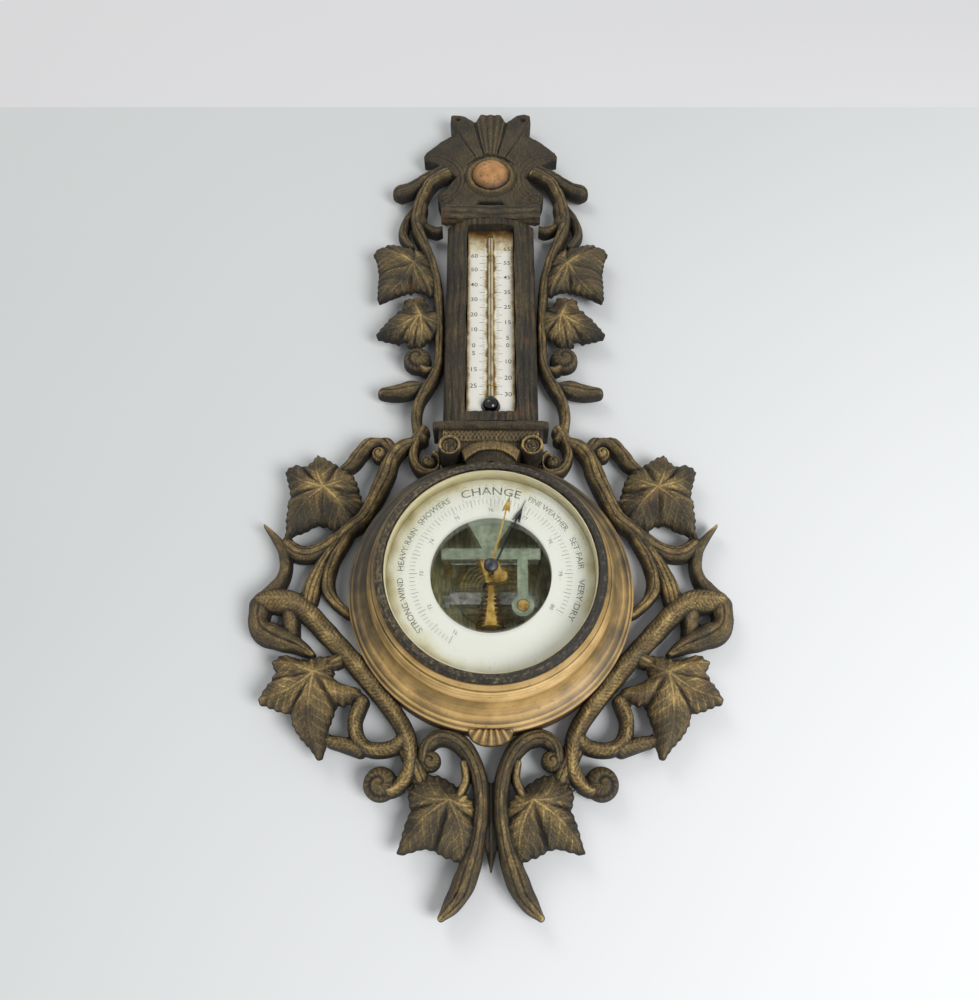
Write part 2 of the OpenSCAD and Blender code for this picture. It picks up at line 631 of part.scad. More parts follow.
module hanger_plate() {
    color(brass) hung() difference() {
        hanger_blank();
        translate([-40, hang_height - 20, -5]) cube([80, 40, 5]);
        translate([0, hang_height, -1]) cylinder(r = hang_r, h = 5);
        for (s = [-1, 1]) translate([s * hanger_screw_x, hang_height, 0]) {
            translate([0, 0, -1]) cylinder(r = 1.3, h = 5);
            translate([0, 0, -0.01]) cylinder(r1 = 2.71, r2 = 1.21, h = 1.5);
        }
    }
}
hang_r = 4.5;
hanger_screw_x = 13.5;

module hanger_screws() {
    color(steel) hung() for (s = [-1, 1]) translate([s * hanger_screw_x, hang_height, 0]) difference() {
        union() {
            translate([0, 0, 0.02]) cylinder(r1 = 2.6, r2 = 1.2, h = 1.4);
            cylinder(r = 1.2, h = 12);
        }
        translate([-4, -0.4, -1]) cube([8, 0.8, 1.5]);
    }
}

// Milk-glass plate with the thermometer scale
module scale_plate() {
    color("#e6dfc6") hung() difference() {
        translate([-plate_w / 2, plate_low, plate_front - plate_t])
            cube([plate_w, plate_high - plate_low, plate_t]);
        translate([0, bulb_y, 0]) cylinder(r = bulb_r + 0.6, h = 60);
        translate([0, bulb_y, plate_front + 0.7]) rotate([-90, 0, 0]) cylinder(r = tube_r + 0.2, h = tube_high - bulb_y + 2);
        for (y = clip_y, s = [-1, 1]) translate([s * clip_x, y, 0]) cylinder(r = clip_r + run_gap, h = 60);
    }
}
tube_high = 352;
clip_y = [185, 329];
clip_x = 3.4;
clip_r = 0.45;
tube_z = plate_front + 0.8;

// Glass tube with its bulb, hollow for the mercury
module thermometer_tube() {
    color("#e9e2cc") hung() difference() {
        union() {
            translate([0, bulb_y, bulb_z]) sphere(r = bulb_r);
            translate([0, bulb_y, tube_z]) rotate([-90, 0, 0]) cylinder(r = tube_r, h = tube_high - bulb_y - tube_r);
            translate([0, tube_high - tube_r, tube_z]) sphere(r = tube_r);
        }
        translate([0, bulb_y, bulb_z]) sphere(r = bulb_r - bulb_wall);
        translate([0, bulb_y, tube_z]) rotate([-90, 0, 0]) cylinder(r = thread_r, h = tube_high - bulb_y - 6);
    }
}
bulb_z = plate_front + 1.4;
bulb_wall = 0.5;
thread_r = 0.55;

module mercury() {
    gap = 0.06;
    color("#1c1d1f") hung() union() {
        translate([0, bulb_y, bulb_z]) sphere(r = bulb_r - bulb_wall - gap);
        translate([0, bulb_y, tube_z]) rotate([-90, 0, 0]) cylinder(r = thread_r - gap, h = reading_y - bulb_y);
    }
}

// Wire staples that hold the tube to its plate
module tube_clips() {
    color(brass) hung() for (y = clip_y) translate([0, y, tube_z]) {
        rotate([-90, 0, 0]) rotate_extrude(angle = -180) translate([clip_x, 0]) circle(r = clip_r);
        for (s = [-1, 1]) translate([s * clip_x, 0, plate_front - plate_t + 0.1 - tube_z])
            cylinder(r = clip_r, h = tube_z - plate_front + plate_t - 0.1);
    }
}

// Tinned case that the movement is screwed into
module drum_case() {
    r = case_r + case_t;
    color(tin) hung() difference() {
        rotate_extrude() polygon([[0, case_back], [r - 3, case_back], [r - 1, case_back + 0.8], [r, case_back + 3],
            [r, flange_z], [flange_r, flange_z], [flange_r, flange_top], [spigot_r + case_t, flange_top],
            [spigot_r + case_t, flange_top + 4.5], [spigot_r, flange_top + 4.5], [spigot_r, flange_top],
            [case_r, flange_top], [case_r, case_back + 3.4], [case_r - 1, case_back + 1.6],
            [case_r - 2.6, floor_z], [0, floor_z]]);
        translate([0, 0, case_back - 1]) cylinder(r = stud_r + wood_gap, h = 4);
        for (a = [0:2]) rotate(30 + 120 * a) translate([plate_screw_r, 0, case_back - 1]) cylinder(r = 1.6, h = 4);
        for (a = [0:2]) rotate(90 + 120 * a) translate([flange_screw_r, 0, flange_z]) {
            translate([0, 0, -1]) cylinder(r = screw_r + run_gap, h = 4);
            translate([0, 0, case_t - 0.8]) cylinder(r1 = screw_r + run_gap, r2 = screw_r + 0.9, h = 0.81);
        }
    }
}
module flange_screws() {
    color(brass) hung() for (a = [0:2]) rotate(90 + 120 * a) translate([flange_screw_r, 0, flange_top]) difference() {
        union() {
            translate([0, 0, 0.2 - screw_depth]) cylinder(r = screw_r, h = screw_depth - 0.25);
            translate([0, 0, -0.75]) cylinder(r1 = screw_r, r2 = screw_r + 0.75, h = 0.7);
        }
        translate([-3, -0.3, -0.4]) cube([6, 0.6, 1]);
    }
}

// Black bezel that holds the glass
module bezel_ring() {
    back = flange_top + 0.05;
    inner = glass_r + seat_gap;
    color(blackened) hung() rotate_extrude() polygon(concat(
        [[inner, back], [bezel_r - 0.6, back], [bezel_r, back + 2]],
        [[bezel_r, bezel_top - 5.6]],
        arc([bezel_r - 3, bezel_top - 4.6], 3, 0, 60, 4),
        arc([bezel_r - 4.2, bezel_top - 6], 6, 80, 110, 3),
        [[bezel_lip_r + 0.6, bezel_top - 1.2], [bezel_lip_r, bezel_top - 1.6 + seat_gap],
            [inner, bezel_top - 1.6 + seat_gap]]));
}

// Glass with the hole for the knob's shaft
module glass() {
    color([0.9, 0.95, 0.93, 0.3]) hung() translate([0, 0, glass_back]) difference() {
        cylinder(r = glass_r, h = glass_t);
        translate([0, 0, -1]) cylinder(r = knob_shaft_r + 0.2, h = glass_t + 2);
    }
}
knob_shaft_r = 1.5;

// Split ring that keeps the glass in the bezel
module glass_wire() {
    z = glass_back - wire_ring_t - 0.05;
    color(brass) hung() difference() {
        rotate_extrude() polygon([[wire_inner_r, z], [glass_r, z], [glass_r, z + wire_ring_t],
            [wire_inner_r, z + wire_ring_t]]);
        translate([-1.5, -glass_r - 2, z - 1]) cube([3, 8, 5]);
    }
}

// Cream band between dial and glass
module reflector_band() {
    outer = case_r - 0.4;
    color(cream) hung() translate([0, 0, dial_z + 0.05]) difference() {
        cylinder(r = outer, h = glass_back - dial_z - 0.15);
        translate([0, 0, -1]) cylinder(r = outer - 0.8, h = 30);
    }
}

// Silvered dial with its open centre and rolled edge
module dial_plate() {
    color(silvered) hung() union() {
        translate([0, 0, dial_z - dial_t]) difference() {
            cylinder(r = dial_r, h = dial_t);
            translate([0, 0, -1]) cylinder(r = window_r, h = 4);
        }
        translate([0, 0, dial_z - 2]) difference() {
            cylinder(r = window_r + 0.9, h = 2 + 0.25);
            translate([0, 0, -1]) cylinder(r = window_r, h = 4);
        }
    }
}

module dial_feet() {
    color(brass) hung() for (a = [0:2]) rotate(30 + 120 * a + 60) translate([dial_foot_r, 0, floor_top])
        cylinder(r = 2.5, h = dial_z - dial_t - floor_top);
}

// Knob on the front of the glass with the shaft that carries the set hand
module set_hand_knob() {
    z = glass_back + glass_t + 0.1;
    color("#3a3a3c") hung() union() {
        translate([0, 0, z]) rotate_extrude() polygon([[0, 0], [knob_r - 0.4, 0], [knob_r, 0.6], [knob_r, 2.8],
            [knob_r - 0.5, 3.8], [knob_r - 1.6, 4.7], [knob_r - 3.4, 5.3], [0, 5.5]]);
        translate([0, 0, glass_back - 2.8]) cylinder(r = knob_shaft_r, h = glass_t + 3.4);
    }
}

// A hand of the dial: thin shaft, arrow head, hub
module hand(length, arrow_at, hub_r, hub_t, blade_t, tail, bore) {
    difference() {
        union() {
            cylinder(r = hub_r, h = hub_t);
            linear_extrude(blade_t) polygon([[-0.9, 0], [-0.55, arrow_at - 6], [-3.1, arrow_at - 8.5],
                [-2.6, arrow_at - 4], [-0.4, arrow_at + 4], [-0.2, length], [0.2, length], [0.4, arrow_at + 4],
                [2.6, arrow_at - 4], [3.1, arrow_at - 8.5], [0.55, arrow_at - 6], [0.9, 0], [1.3, -tail],
                [-1.3, -tail]]);
        }
        translate([0, 0, -1]) cylinder(r = bore, h = 10);
    }
}

module set_hand() {
    color(brass) hung() translate([0, 0, glass_back - 2.6]) rotate(-set_at)
        hand(set_len, set_len - 8, 3, 2.5, 0.7, 12, knob_shaft_r + 0.01);
}

module pointer() {
    color("#23252a") hung() translate([0, 0, dial_z + 1]) rotate(-pointer_at)
        hand(pointer_len, pointer_len - 12, 2.4, 1.8, 0.6, 14, arbor_r + 0.01);
}

// Arbor with the small drum that the chain winds on
module pointer_arbor() {
    color(steel) hung() union() {
        translate([0, 0, cock_low_z + 0.3]) cylinder(r = arbor_r, h = dial_z + 3.2 - cock_low_z);
        translate([0, 0, pulley_z]) difference() {
            cylinder(r = pulley_r + 0.7, h = 1.8);
            translate([0, 0, 0.35]) rotate_extrude() polygon([[pulley_r, 0], [4, 0], [4, 1.1], [pulley_r, 1.1]]);
        }
    }
}

// Floor of the movement, screwed to the case
module movement_plate() {
    color(brass) hung() translate([0, 0, floor_z]) difference() {
        cylinder(r = floor_r, h = floor_t);
        translate([0, 0, -1]) cylinder(r = stud_r + run_gap, h = 6);
        for (a = [0:2]) rotate(30 + 120 * a) translate([plate_screw_r, 0, -1]) cylinder(r = 1.45, h = 6);
    }
}

module plate_screws() {
    color(brass) hung() for (a = [0:2]) rotate(30 + 120 * a) translate([plate_screw_r, 0, case_back]) difference() {
        union() {
            translate([0, 0, -1.5]) cylinder(r = 2.8, h = 1.5);
            cylinder(r = 1.4, h = case_t + floor_t);
        }
        translate([-4, -0.4, -2]) cube([8, 0.8, 1.2]);
    }
}

// Corrugated vacuum capsule with its stud and collar
module capsule() {
    waves = [for (k = [0:12]) let (r = capsule_r - 3 - k * (capsule_r - 10) / 12)
        [r, capsule_z + capsule_t - 0.9 + (k % 2 == 0 ? 0 : 0.9)]];
    under = [for (w = waves) [w[0], 2 * capsule_z + capsule_t - w[1]]];
    color("#9a9468") hung() difference() {
        union() {
            rotate_extrude() polygon(concat([[0, capsule_z + capsule_t]], [[5.5, capsule_z + capsule_t]],
                [for (k = [12:-1:0]) waves[k]], [[capsule_r, capsule_z + 0.55 * capsule_t],
                [capsule_r, capsule_z + 0.45 * capsule_t]], under,
                [[5.5, capsule_z], [0, capsule_z]]));
            cylinder_between(4, capsule_z + capsule_t - 1, collar_top);
            cylinder_between(6, floor_top, capsule_z + 1);
            cylinder_between(stud_r, case_back - 3.6, capsule_z + 1);
        }
        cylinder_between(post_r + run_gap, collar_top - 3.2, collar_top + 1);
        cylinder_between(adjust_r + run_gap, case_back - 5, capsule_z - 1);
    }
}
post_r = 1.5;
adjust_r = 1.5;

module cylinder_between(r, low, high) {
    translate([0, 0, low]) cylinder(r = r, h = high - low);
}

// Post that the capsule lifts, with the cross pin that the lever pulls on
module capsule_post() {
    color(steel) hung() union() {
        cylinder_between(post_r, collar_top - 1.6, foot_z + strip_t + 3.4);
        translate([-3.6, 0, foot_z + strip_t + 1]) rotate([0, 90, 0]) cylinder(r = 0.7, h = 7.2);
    }
}

// Screw at the back that sets the pointer
module adjusting_screw() {
    color(brass) hung() difference() {
        union() {
            cylinder_between(4.2, case_back - 5.9, case_back - 3.8);
            cylinder_between(adjust_r, case_back - 4, capsule_z - 2);
        }
        translate([-6, -0.5, case_back - 7]) cube([12, 1, 2.2]);
    }
}

// Steel strap over the capsule with the tongue that the main spring pushes on
module spring_bridge() {
    y = spring_from + wire_r + 0.1 + strip_t + 0.9;
    top = capsule_z + capsule_t + 2;
    x = capsule_r + 3;
    color(steel) hung() union() {
        for (s = [-1, 1]) {
            translate([s * x - 1, y - 5, floor_top]) cube([2, 10, top + 1.2 - floor_top]);
            translate([s * (x + 3.5) - 3.5, y - 5, floor_top]) cube([7, 10, 1.4]);
        }
        difference() {
            translate([-x, y - 5, top]) cube([2 * x, 10, strip_t]);
            translate([-5, y - 0.9, top - 1]) cube([10, 7, 4]);
        }
        translate([-5, y - strip_t - 0.9, top]) cube([10, strip_t, spring_z + 6.5 - top]);
    }
}

// Main spring: one unbroken conical coil along y, narrow end at the top, both ends flat against their seats
function coil_point(u) = let (a = 360 * curls * u, r = spring_small + (spring_wide - spring_small) * u,
    flat = coil_flat / curls, v = min(1, max(0, (u - flat) / (1 - 2 * flat))))
    [r * cos(a), spring_from + (spring_to - spring_from) * v, spring_z + r * sin(a)];
coil_flat = 0.4;
coil_steps = 8 * curls;
coil_path = [for (i = [0:coil_steps]) coil_point(i / coil_steps)];
coil_least = min([for (i = [0:coil_steps], j = [0:coil_steps]) if (abs(i - j) > 4) norm(coil_path[i] - coil_path[j])]);
echo(main_spring_least_gap = coil_least - 2 * wire_r);

// A round tube along points, six-sided
module tube(path, r, sides = 6) {
    n = len(path);
    rings = [for (i = [0:n - 1]) let (
        d = path[min(i + 1, n - 1)] - path[max(i - 1, 0)], t = d / norm(d),
        side = let (c = cross(t, [0, 1, 0.001])) c / norm(c), up = cross(side, t))
        each [for (k = [0:sides - 1]) let (a = 360 * k / sides) path[i] + r * (cos(a) * side + sin(a) * up)]];
    polyhedron(rings, concat(
        [[for (k = [sides - 1:-1:0]) k]],
        [for (i = [0:n - 2], k = [0:sides - 1]) let (a = sides * i + k, b = sides * i + (k + 1) % sides)
            each [[a, b, b + sides], [a, b + sides, a + sides]]],
        [[for (k = [0:sides - 1]) sides * (n - 1) + k]]));
}

module main_spring() {
    color("#c9b27a") hung() tube(coil_path, wire_r);
}

// Main lever: bar over the spring, wall behind it, foot that grips the capsule's post
module lever() {
    color(brass) hung() difference() {
        union() {
            translate([0, 0, bar_z]) linear_extrude(strip_t)
                polygon([[-2, bar_front], [2, bar_front], [2.4, -22], [4.7, wall_y], [-4.7, wall_y], [-2.4, -22]]);
            translate([-4.7, wall_y - strip_t, hinge_z]) cube([9.4, strip_t, bar_z + strip_t - hinge_z]);
            translate([0, wall_y, spring_z]) rotate([90, 0, 0]) cylinder(r = spring_wide + 1, h = strip_t);
            translate([-4.7, hinge_y, hinge_z]) rotate([0, 90, 0]) cylinder(r = 3.2, h = 9.4);
            translate([-2, bar_front - strip_t, foot_z]) cube([4, strip_t, bar_z + strip_t - foot_z]);
            translate([-2, bar_front - strip_t, foot_z]) cube([4, tip_y + 2 - bar_front + strip_t, strip_t]);
            translate([0, 0, foot_z]) cylinder(r = 4.4, h = strip_t);
            translate([-link_x - 1.1, tip_y, foot_z + strip_t / 2]) rotate([0, 90, 0]) cylinder(r = 0.6, h = 3);
        }
        translate([-1.8, -2.2, foot_z - 1]) cube([3.6, 4.4, 4]);
        translate([-6, hinge_y, hinge_z]) rotate([0, 90, 0]) cylinder(r = hinge_r + run_gap, h = 12);
    }
}

module lever_pin() {
    color(steel) hung() translate([-10.4, hinge_y, hinge_z]) rotate([0, 90, 0]) cylinder(r = hinge_r, h = 20.8);
}

// Two ears that carry the lever's pin
module lever_stand() {
    color(brass) hung() for (s = [-1, 1]) translate([s * 7.4, 0, 0]) difference() {
        union() {
            translate([-1, hinge_y - 4, floor_top]) cube([2, 8, hinge_z - floor_top]);
            translate([-1, hinge_y, hinge_z]) rotate([0, 90, 0]) cylinder(r = 4, h = 2);
            translate([s > 0 ? 0 : -4, hinge_y - 4, floor_top]) cube([4, 8, 1.2]);
        }
        translate([-3, hinge_y, hinge_z]) rotate([0, 90, 0]) cylinder(r = hinge_r + 0.02, h = 6);
    }
}

// Link from the lever's tip to the rocking shaft
module link() {
    low = foot_z + strip_t / 2;
    color(steel) hung() translate([-link_x - 0.5, 0, 0]) difference() {
        union() {
            for (z = [low, shaft_z]) translate([0, tip_y, z]) rotate([0, 90, 0]) cylinder(r = 2, h = 1);
            translate([0, tip_y - 1.3, low]) cube([1, 2.6, shaft_z - low]);
        }
        for (z = [low, shaft_z]) translate([-1, tip_y, z]) rotate([0, 90, 0]) cylinder(r = 1.05, h = 3);
    }
}

// Rocking shaft with its link arm and its chain arm
module rocking_shaft() {
    arm_top = chain_z + 1.2;
    color(steel) hung() union() {
        translate([-pillar_x + pillar_r + 0.4, shaft_y, shaft_z]) rotate([0, 90, 0])
            cylinder(r = shaft_r, h = 2 * (pillar_x - pillar_r - 0.4));
        translate([-pillar_x + pillar_r - 1.6, shaft_y, shaft_z]) rotate([0, 90, 0])
            cylinder(r = 0.8, h = 2 * (pillar_x - pillar_r + 1.6));
        translate([-link_x - 2, tip_y - 1.3, shaft_z - 1.3]) cube([1, shaft_y - tip_y + 1.3, 2.6]);
        translate([-link_x - 1.2, tip_y, shaft_z]) rotate([0, 90, 0]) cylinder(r = 0.6, h = 2.2);
        translate([chain_x + 0.7, shaft_y - 1.2, shaft_z]) cube([1.2, 2.4, arm_top - shaft_z]);
        translate([chain_x - 0.5, shaft_y, chain_z]) rotate([0, 90, 0]) cylinder(r = 0.4, h = 1.5);
    }
}

// Fine chain from the rocking shaft's arm to the arbor, its links as beads
module chain() {
    beads = 14;
    pitch = (shaft_y - 1 - 0.4) / beads;
    color(steel) hung() translate([chain_x, 0.4, chain_z]) rotate([-90, 0, 0]) rotate_extrude()
        polygon(concat([[0, 0]], [for (k = [0:beads - 1]) each
            [[0.12, k * pitch], [0.25, (k + 0.3) * pitch], [0.25, (k + 0.7) * pitch]]],
            [[0.12, beads * pitch], [0, beads * pitch]]));
}

// Two pillars that hold the bridge and the rocking shaft, and one under the bridge's eye
module bridge_pillars() {
    color(brass) hung() {
        for (s = [-1, 1]) difference() {
            translate([s * pillar_x, shaft_y, floor_top]) cylinder(r = pillar_r, h = bridge_z - floor_top);
            translate([s * (pillar_x - pillar_r), shaft_y, shaft_z]) rotate([0, 90, 0])
                cylinder(r = 0.8 + run_gap, h = 4, center = true);
        }
        difference() {
            translate([eye_x, eye_y, floor_top]) cylinder(r = pillar_r, h = bridge_z - floor_top);
            translate([eye_x, eye_y, bridge_z - 8]) cylinder(r = 1.45, h = 9);
        }
    }
}

// Steel bridge: cross bar, flared tail above it, leg with an eye below it
module t_bridge() {
    bar_low = 13.6;
    bar_high = 22.7;
    color(steel) hung() difference() {
        translate([0, 0, bridge_z]) union() {
            linear_extrude(bridge_t) polygon([[-39, bar_low], [20.6, bar_low], [20.6, eye_y + 4], [28.9, eye_y + 4],
                [28.9, bar_low], [39, bar_low], [39, bar_high], [2.5, bar_high], [14.5, 41], [19, 52], [-22, 52],
                [-16.7, 41], [-7, bar_high], [-39, bar_high]]);
            translate([eye_x, eye_y, 0]) cylinder(r = 8.7, h = bridge_t);
        }
        translate([eye_x, eye_y, bridge_z + 0.8]) cylinder(r = 5.1, h = 5);
        translate([eye_x, eye_y, bridge_z - 1]) cylinder(r = 1.5, h = 5);
    }
}

module bridge_screws() {
    color(brass) hung() translate([eye_x, eye_y, bridge_z + 0.8]) difference() {
        union() {
            cylinder(r = 4.2, h = 1.6);
            translate([0, 0, -7]) cylinder(r = 1.4, h = 7.2);
        }
        translate([-6, -0.5, 0.8]) cube([12, 1, 2]);
    }
}

// Brass cock under the bridge: two leaves that the arbor turns in, joined by a block
module arbor_cock() {
    color(brass) hung() difference() {
        union() {
            translate([0, 0, cock_top - cock_t]) linear_extrude(cock_t) union() {
                hull() {
                    circle(r = 4.6, $fn = 40);
                    translate([cock_screw_x, cock_screw_y]) circle(r = 4.3, $fn = 40);
                }
                polygon([[-4.4, 0], [9, 3], [4, 22.4], [-12, 22.4]]);
            }
            translate([-12, 14.2, cock_low_z]) cube([7, 8, cock_top - cock_low_z]);
            translate([0, 0, cock_low_z]) linear_extrude(1.4) hull() {
                circle(r = 2.8, $fn = 40);
                translate([-8.5, 18]) circle(r = 3.5, $fn = 40);
            }
        }
        translate([0, 0, cock_low_z - 1]) cylinder(r = arbor_r + run_gap, h = 20);
        translate([cock_screw_x, cock_screw_y, cock_top - 5]) cylinder(r = 1.3, h = 9);
    }
}
cock_screw_x = 8.8;
cock_screw_y = 0.9;

module cock_screw() {
    color(brass) hung() translate([cock_screw_x, cock_screw_y, cock_top]) difference() {
        union() {
            cylinder(r = 3.2, h = 1.3);
            translate([0, 0, -7]) cylinder(r = 1.2, h = 7.2);
        }
        translate([-5, -0.4, 0.6]) cube([10, 0.8, 2]);
    }
}

// Flat spiral that takes up the chain's slack, as one unbroken ribbon
module hairspring() {
    turns = 4;
    steps = 20 * turns;
    z = pulley_z + 2.4;
    r0 = 1.6;
    r1 = 5;
    half = 0.12;
    function at(i, o) = let (a = 360 * turns * i / steps, r = r0 + (r1 - r0) * i / steps + o) [r * cos(a), r * sin(a)];
    color("#5b6b8c") hung() translate([0, 0, z]) union() {
        linear_extrude(0.8) polygon(concat([for (i = [0:steps]) at(i, half)], [for (i = [steps:-1:0]) at(i, -half)]));
        translate([r1 - half, -0.3, 0]) cube([cock_screw_x - 1.3 - r1, 0.6, 0.8]);
    }
}

base_board();
turned_ring();
wreath_left();
wreath_right();
tail_carving();
side_vine_left();
side_vine_right();
bracket();
column();
column_beam();
crest();
crest_boss();
hanger_plate();
hanger_screws();
scale_plate();
thermometer_tube();
mercury();
tube_clips();
drum_case();
flange_screws();
bezel_ring();
glass();
glass_wire();
reflector_band();
dial_plate();
dial_feet();
set_hand_knob();
set_hand();
pointer();
pointer_arbor();
movement_plate();
plate_screws();
capsule();
capsule_post();
adjusting_screw();
spring_bridge();
main_spring();
lever();
lever_pin();
lever_stand();
link();
rocking_shaft();
chain();
bridge_pillars();
t_bridge();
bridge_screws();
arbor_cock();
cock_screw();
hairspring();
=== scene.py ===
"""Carved wall barometer with thermometer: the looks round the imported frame.

Places are written as on the bench, in millimetres: x to the right, y up from the dial's centre, z off the
wall. hung() turns them into the frame's metres, with the instrument on its wall.
"""

import math

import bpy
import numpy as np
from mathutils import Matrix, Vector


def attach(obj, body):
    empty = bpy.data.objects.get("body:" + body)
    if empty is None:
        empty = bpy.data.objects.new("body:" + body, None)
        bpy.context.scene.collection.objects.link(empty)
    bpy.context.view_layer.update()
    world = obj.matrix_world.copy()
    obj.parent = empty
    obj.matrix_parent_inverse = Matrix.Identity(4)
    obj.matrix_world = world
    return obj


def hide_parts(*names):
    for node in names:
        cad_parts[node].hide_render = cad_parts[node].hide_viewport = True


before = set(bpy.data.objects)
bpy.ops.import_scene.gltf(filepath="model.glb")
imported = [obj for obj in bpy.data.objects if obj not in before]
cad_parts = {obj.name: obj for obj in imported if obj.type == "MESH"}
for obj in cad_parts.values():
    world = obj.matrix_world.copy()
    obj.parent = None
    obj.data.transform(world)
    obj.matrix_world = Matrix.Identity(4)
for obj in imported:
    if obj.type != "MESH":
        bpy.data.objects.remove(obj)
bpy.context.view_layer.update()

MM = 0.001
HANG = 480.0             # the hanging hole stands this far above the dial's centre
STEM, LEAF = 25.0, 30.0  # heights of the vines and of the leaves
BASE_R, RING_TOP = 115.4, 68.3
DIAL_Z = 60.8
BOSS_Y = 441.0
COLUMN, BEAM, BRACKET, PLANK = 42.0, 48.0, 45.0, 36.0     # half widths
COLUMN_TOP, PLANK_TOP = 369.0, 400.0
BEAM_Y, BEAM_R = 378.0, 10.0
CLEAR = 0.1              # room between a carving and its neighbour
GRID = 0.9               # spacing of the carved surfaces' points
ROW = 0.866              # rows of a triangle grid stand this far apart for a spacing of 1
UNDER = -1e3             # height and inside distance where no form reaches
FREE = 99.0              # inside distance of a region without an edge, and rim of a board that has none
INK = 0.03               # the printed faces' height above their plate
INK_DEPTH = 0.00004      # the thickness of the marks' bars, in metres
PAPER_TOP = 566          # the paper ends here, and the wall shows above it
PAPER_BACK, WALL_BACK = -0.9, -1.4     # how far the two sheets lie behind the instrument's back
DIAL_LOW, DIAL_START, DEGREES_A_CM = 71, -150, 30
ROOM = 0.46              # brightness of the pale room

MATH, VECTOR, NOISE = "ShaderNodeMath", "ShaderNodeVectorMath", "ShaderNodeTexNoise"
MIX, RAMP, RANGE = "ShaderNodeMix", "ShaderNodeValToRGB", "ShaderNodeMapRange"
SPLIT, JOIN, MAPPING = "ShaderNodeSeparateXYZ", "ShaderNodeCombineXYZ", "ShaderNodeMapping"


def hung(points):
    """Bench millimetres to the frame's metres."""
    p = np.asarray(points, float).reshape(-1, 3)
    return np.column_stack((p[:, 0], -p[:, 2], p[:, 1] - HANG)) * MM


def linear(code):
    """An sRGB hex colour as linear RGBA."""
    rgb = [int(code[i:i + 2], 16) / 255 for i in (1, 3, 5)]
    return tuple(c / 12.92 if c <= 0.04045 else ((c + 0.055) / 1.055) ** 2.4 for c in rgb) + (1.0,)


def add(tree, kind, inputs=(), stops=(), **settings):
    """Adds a node with its settings and links. inputs gives each socket a value, a hex colour, an output, or
    a node whose first live output feeds it; stops gives a colour ramp its places and colours."""
    node = tree.nodes.new(kind)
    for key, value in settings.items():
        setattr(node, key, value)
    for key, value in (inputs if isinstance(inputs, dict) else dict(enumerate(inputs))).items():
        if isinstance(value, bpy.types.Node):
            value = next(o for o in value.outputs if o.enabled)
        if isinstance(value, bpy.types.NodeSocket):
            tree.links.new(value, node.inputs[key])
        elif value is not None:
            node.inputs[key].default_value = linear(value) if isinstance(value, str) else value
    if stops:
        band = node.color_ramp.elements
        while len(band) < len(stops):
            band.new(0.5)
        for element, (place, colour) in zip(band, stops):
            element.position, element.color = place, linear(colour)
    return node


# Camera, light and paper

def set_camera():
    """The photograph is taken from above the lower end, 24 degrees off the wall's normal."""
    data = bpy.data.cameras.new("camera")
    data.lens = 31.28
    data.clip_start, data.clip_end = 0.01, 20
    camera = bpy.data.objects.new("camera", data)
    bpy.context.scene.collection.objects.link(camera)
    camera.location = hung([-1.1, -223.0, 698.6])[0]
    forward, up = Vector((0, 0.9127, 0.4086)), Vector((0, -0.4086, 0.9127))
    camera.rotation_mode = "QUATERNION"
    camera.rotation_quaternion = Matrix((forward.cross(up), up, -forward)).transposed().to_quaternion()
    bpy.context.scene.camera = camera


def lamp(name, place, aim, size, watts, colour="#ffffff"):
    data = bpy.data.lights.new(name, "AREA")
    data.shape, data.size, data.energy = "DISK", size, watts
    data.color = linear(colour)[:3]
    obj = bpy.data.objects.new(name, data)
    bpy.context.scene.collection.objects.link(obj)
    obj.location = place
    obj.rotation_mode = "QUATERNION"
    obj.rotation_quaternion = (Vector(aim) - Vector(place)).to_track_quat("-Z", "Y")


def set_world():
    """A pale room: it lights the object evenly; the camera and shiny metal see it as light grey paper."""
    world = bpy.data.worlds.new("room")
    bpy.context.scene.world = world
    world.use_nodes = True
    tree = world.node_tree
    tree.nodes.clear()
    path = add(tree, "ShaderNodeLightPath")
    rays = path.outputs["Is Camera Ray"], path.outputs["Is Glossy Ray"]
    seen = add(tree, MATH, rays, operation="MAXIMUM")
    room = add(tree, "ShaderNodeBackground", {"Color": "#f2f5f8", "Strength": ROOM})
    pale = add(tree, "ShaderNodeBackground", {"Color": "#dedfe0", "Strength": 1.0})
    mix = add(tree, "ShaderNodeMixShader", (seen, room, pale))
    add(tree, "ShaderNodeOutputWorld", {"Surface": mix})


def paper_material(name, dark, light):
    """White paper, seen from its front only: light passes it from behind and close to the instrument."""
    mat = bpy.data.materials.new(name)
    mat.use_nodes = True
    tree = mat.node_tree
    tree.nodes.clear()
    place = add(tree, "ShaderNodeTexCoord").outputs["Object"]
    split = add(tree, SPLIT, (place,))
    cloud = add(tree, NOISE, {"Vector": place, "Scale": 2.3, "Detail": 2.0})
    # painted light: the sheet's colour is brighter low on the right, where the strong lamp lights it
    corner = add(tree, MATH, (split.outputs[0], split.outputs[2]), operation="SUBTRACT")
    lit = add(tree, RANGE, (corner, 0.1, 1.1))
    amount = add(tree, MATH, (cloud, 0.3, lit), operation="MULTIPLY_ADD")
    tone = add(tree, MIX, {0: amount, 6: dark, 7: light}, data_type="RGBA")
    paper = add(tree, "ShaderNodeBsdfDiffuse", {"Color": tone})
    clear = add(tree, "ShaderNodeBsdfTransparent")
    length = add(tree, "ShaderNodeLightPath").outputs["Ray Length"]
    near = add(tree, MATH, (length, 0.003), operation="LESS_THAN")
    behind = add(tree, "ShaderNodeNewGeometry").outputs["Backfacing"]
    passes = add(tree, MATH, (near, behind), operation="MAXIMUM")
    sheet = add(tree, "ShaderNodeMixShader", (passes, paper, clear))
    add(tree, "ShaderNodeOutputMaterial", {"Surface": sheet})
    return mat


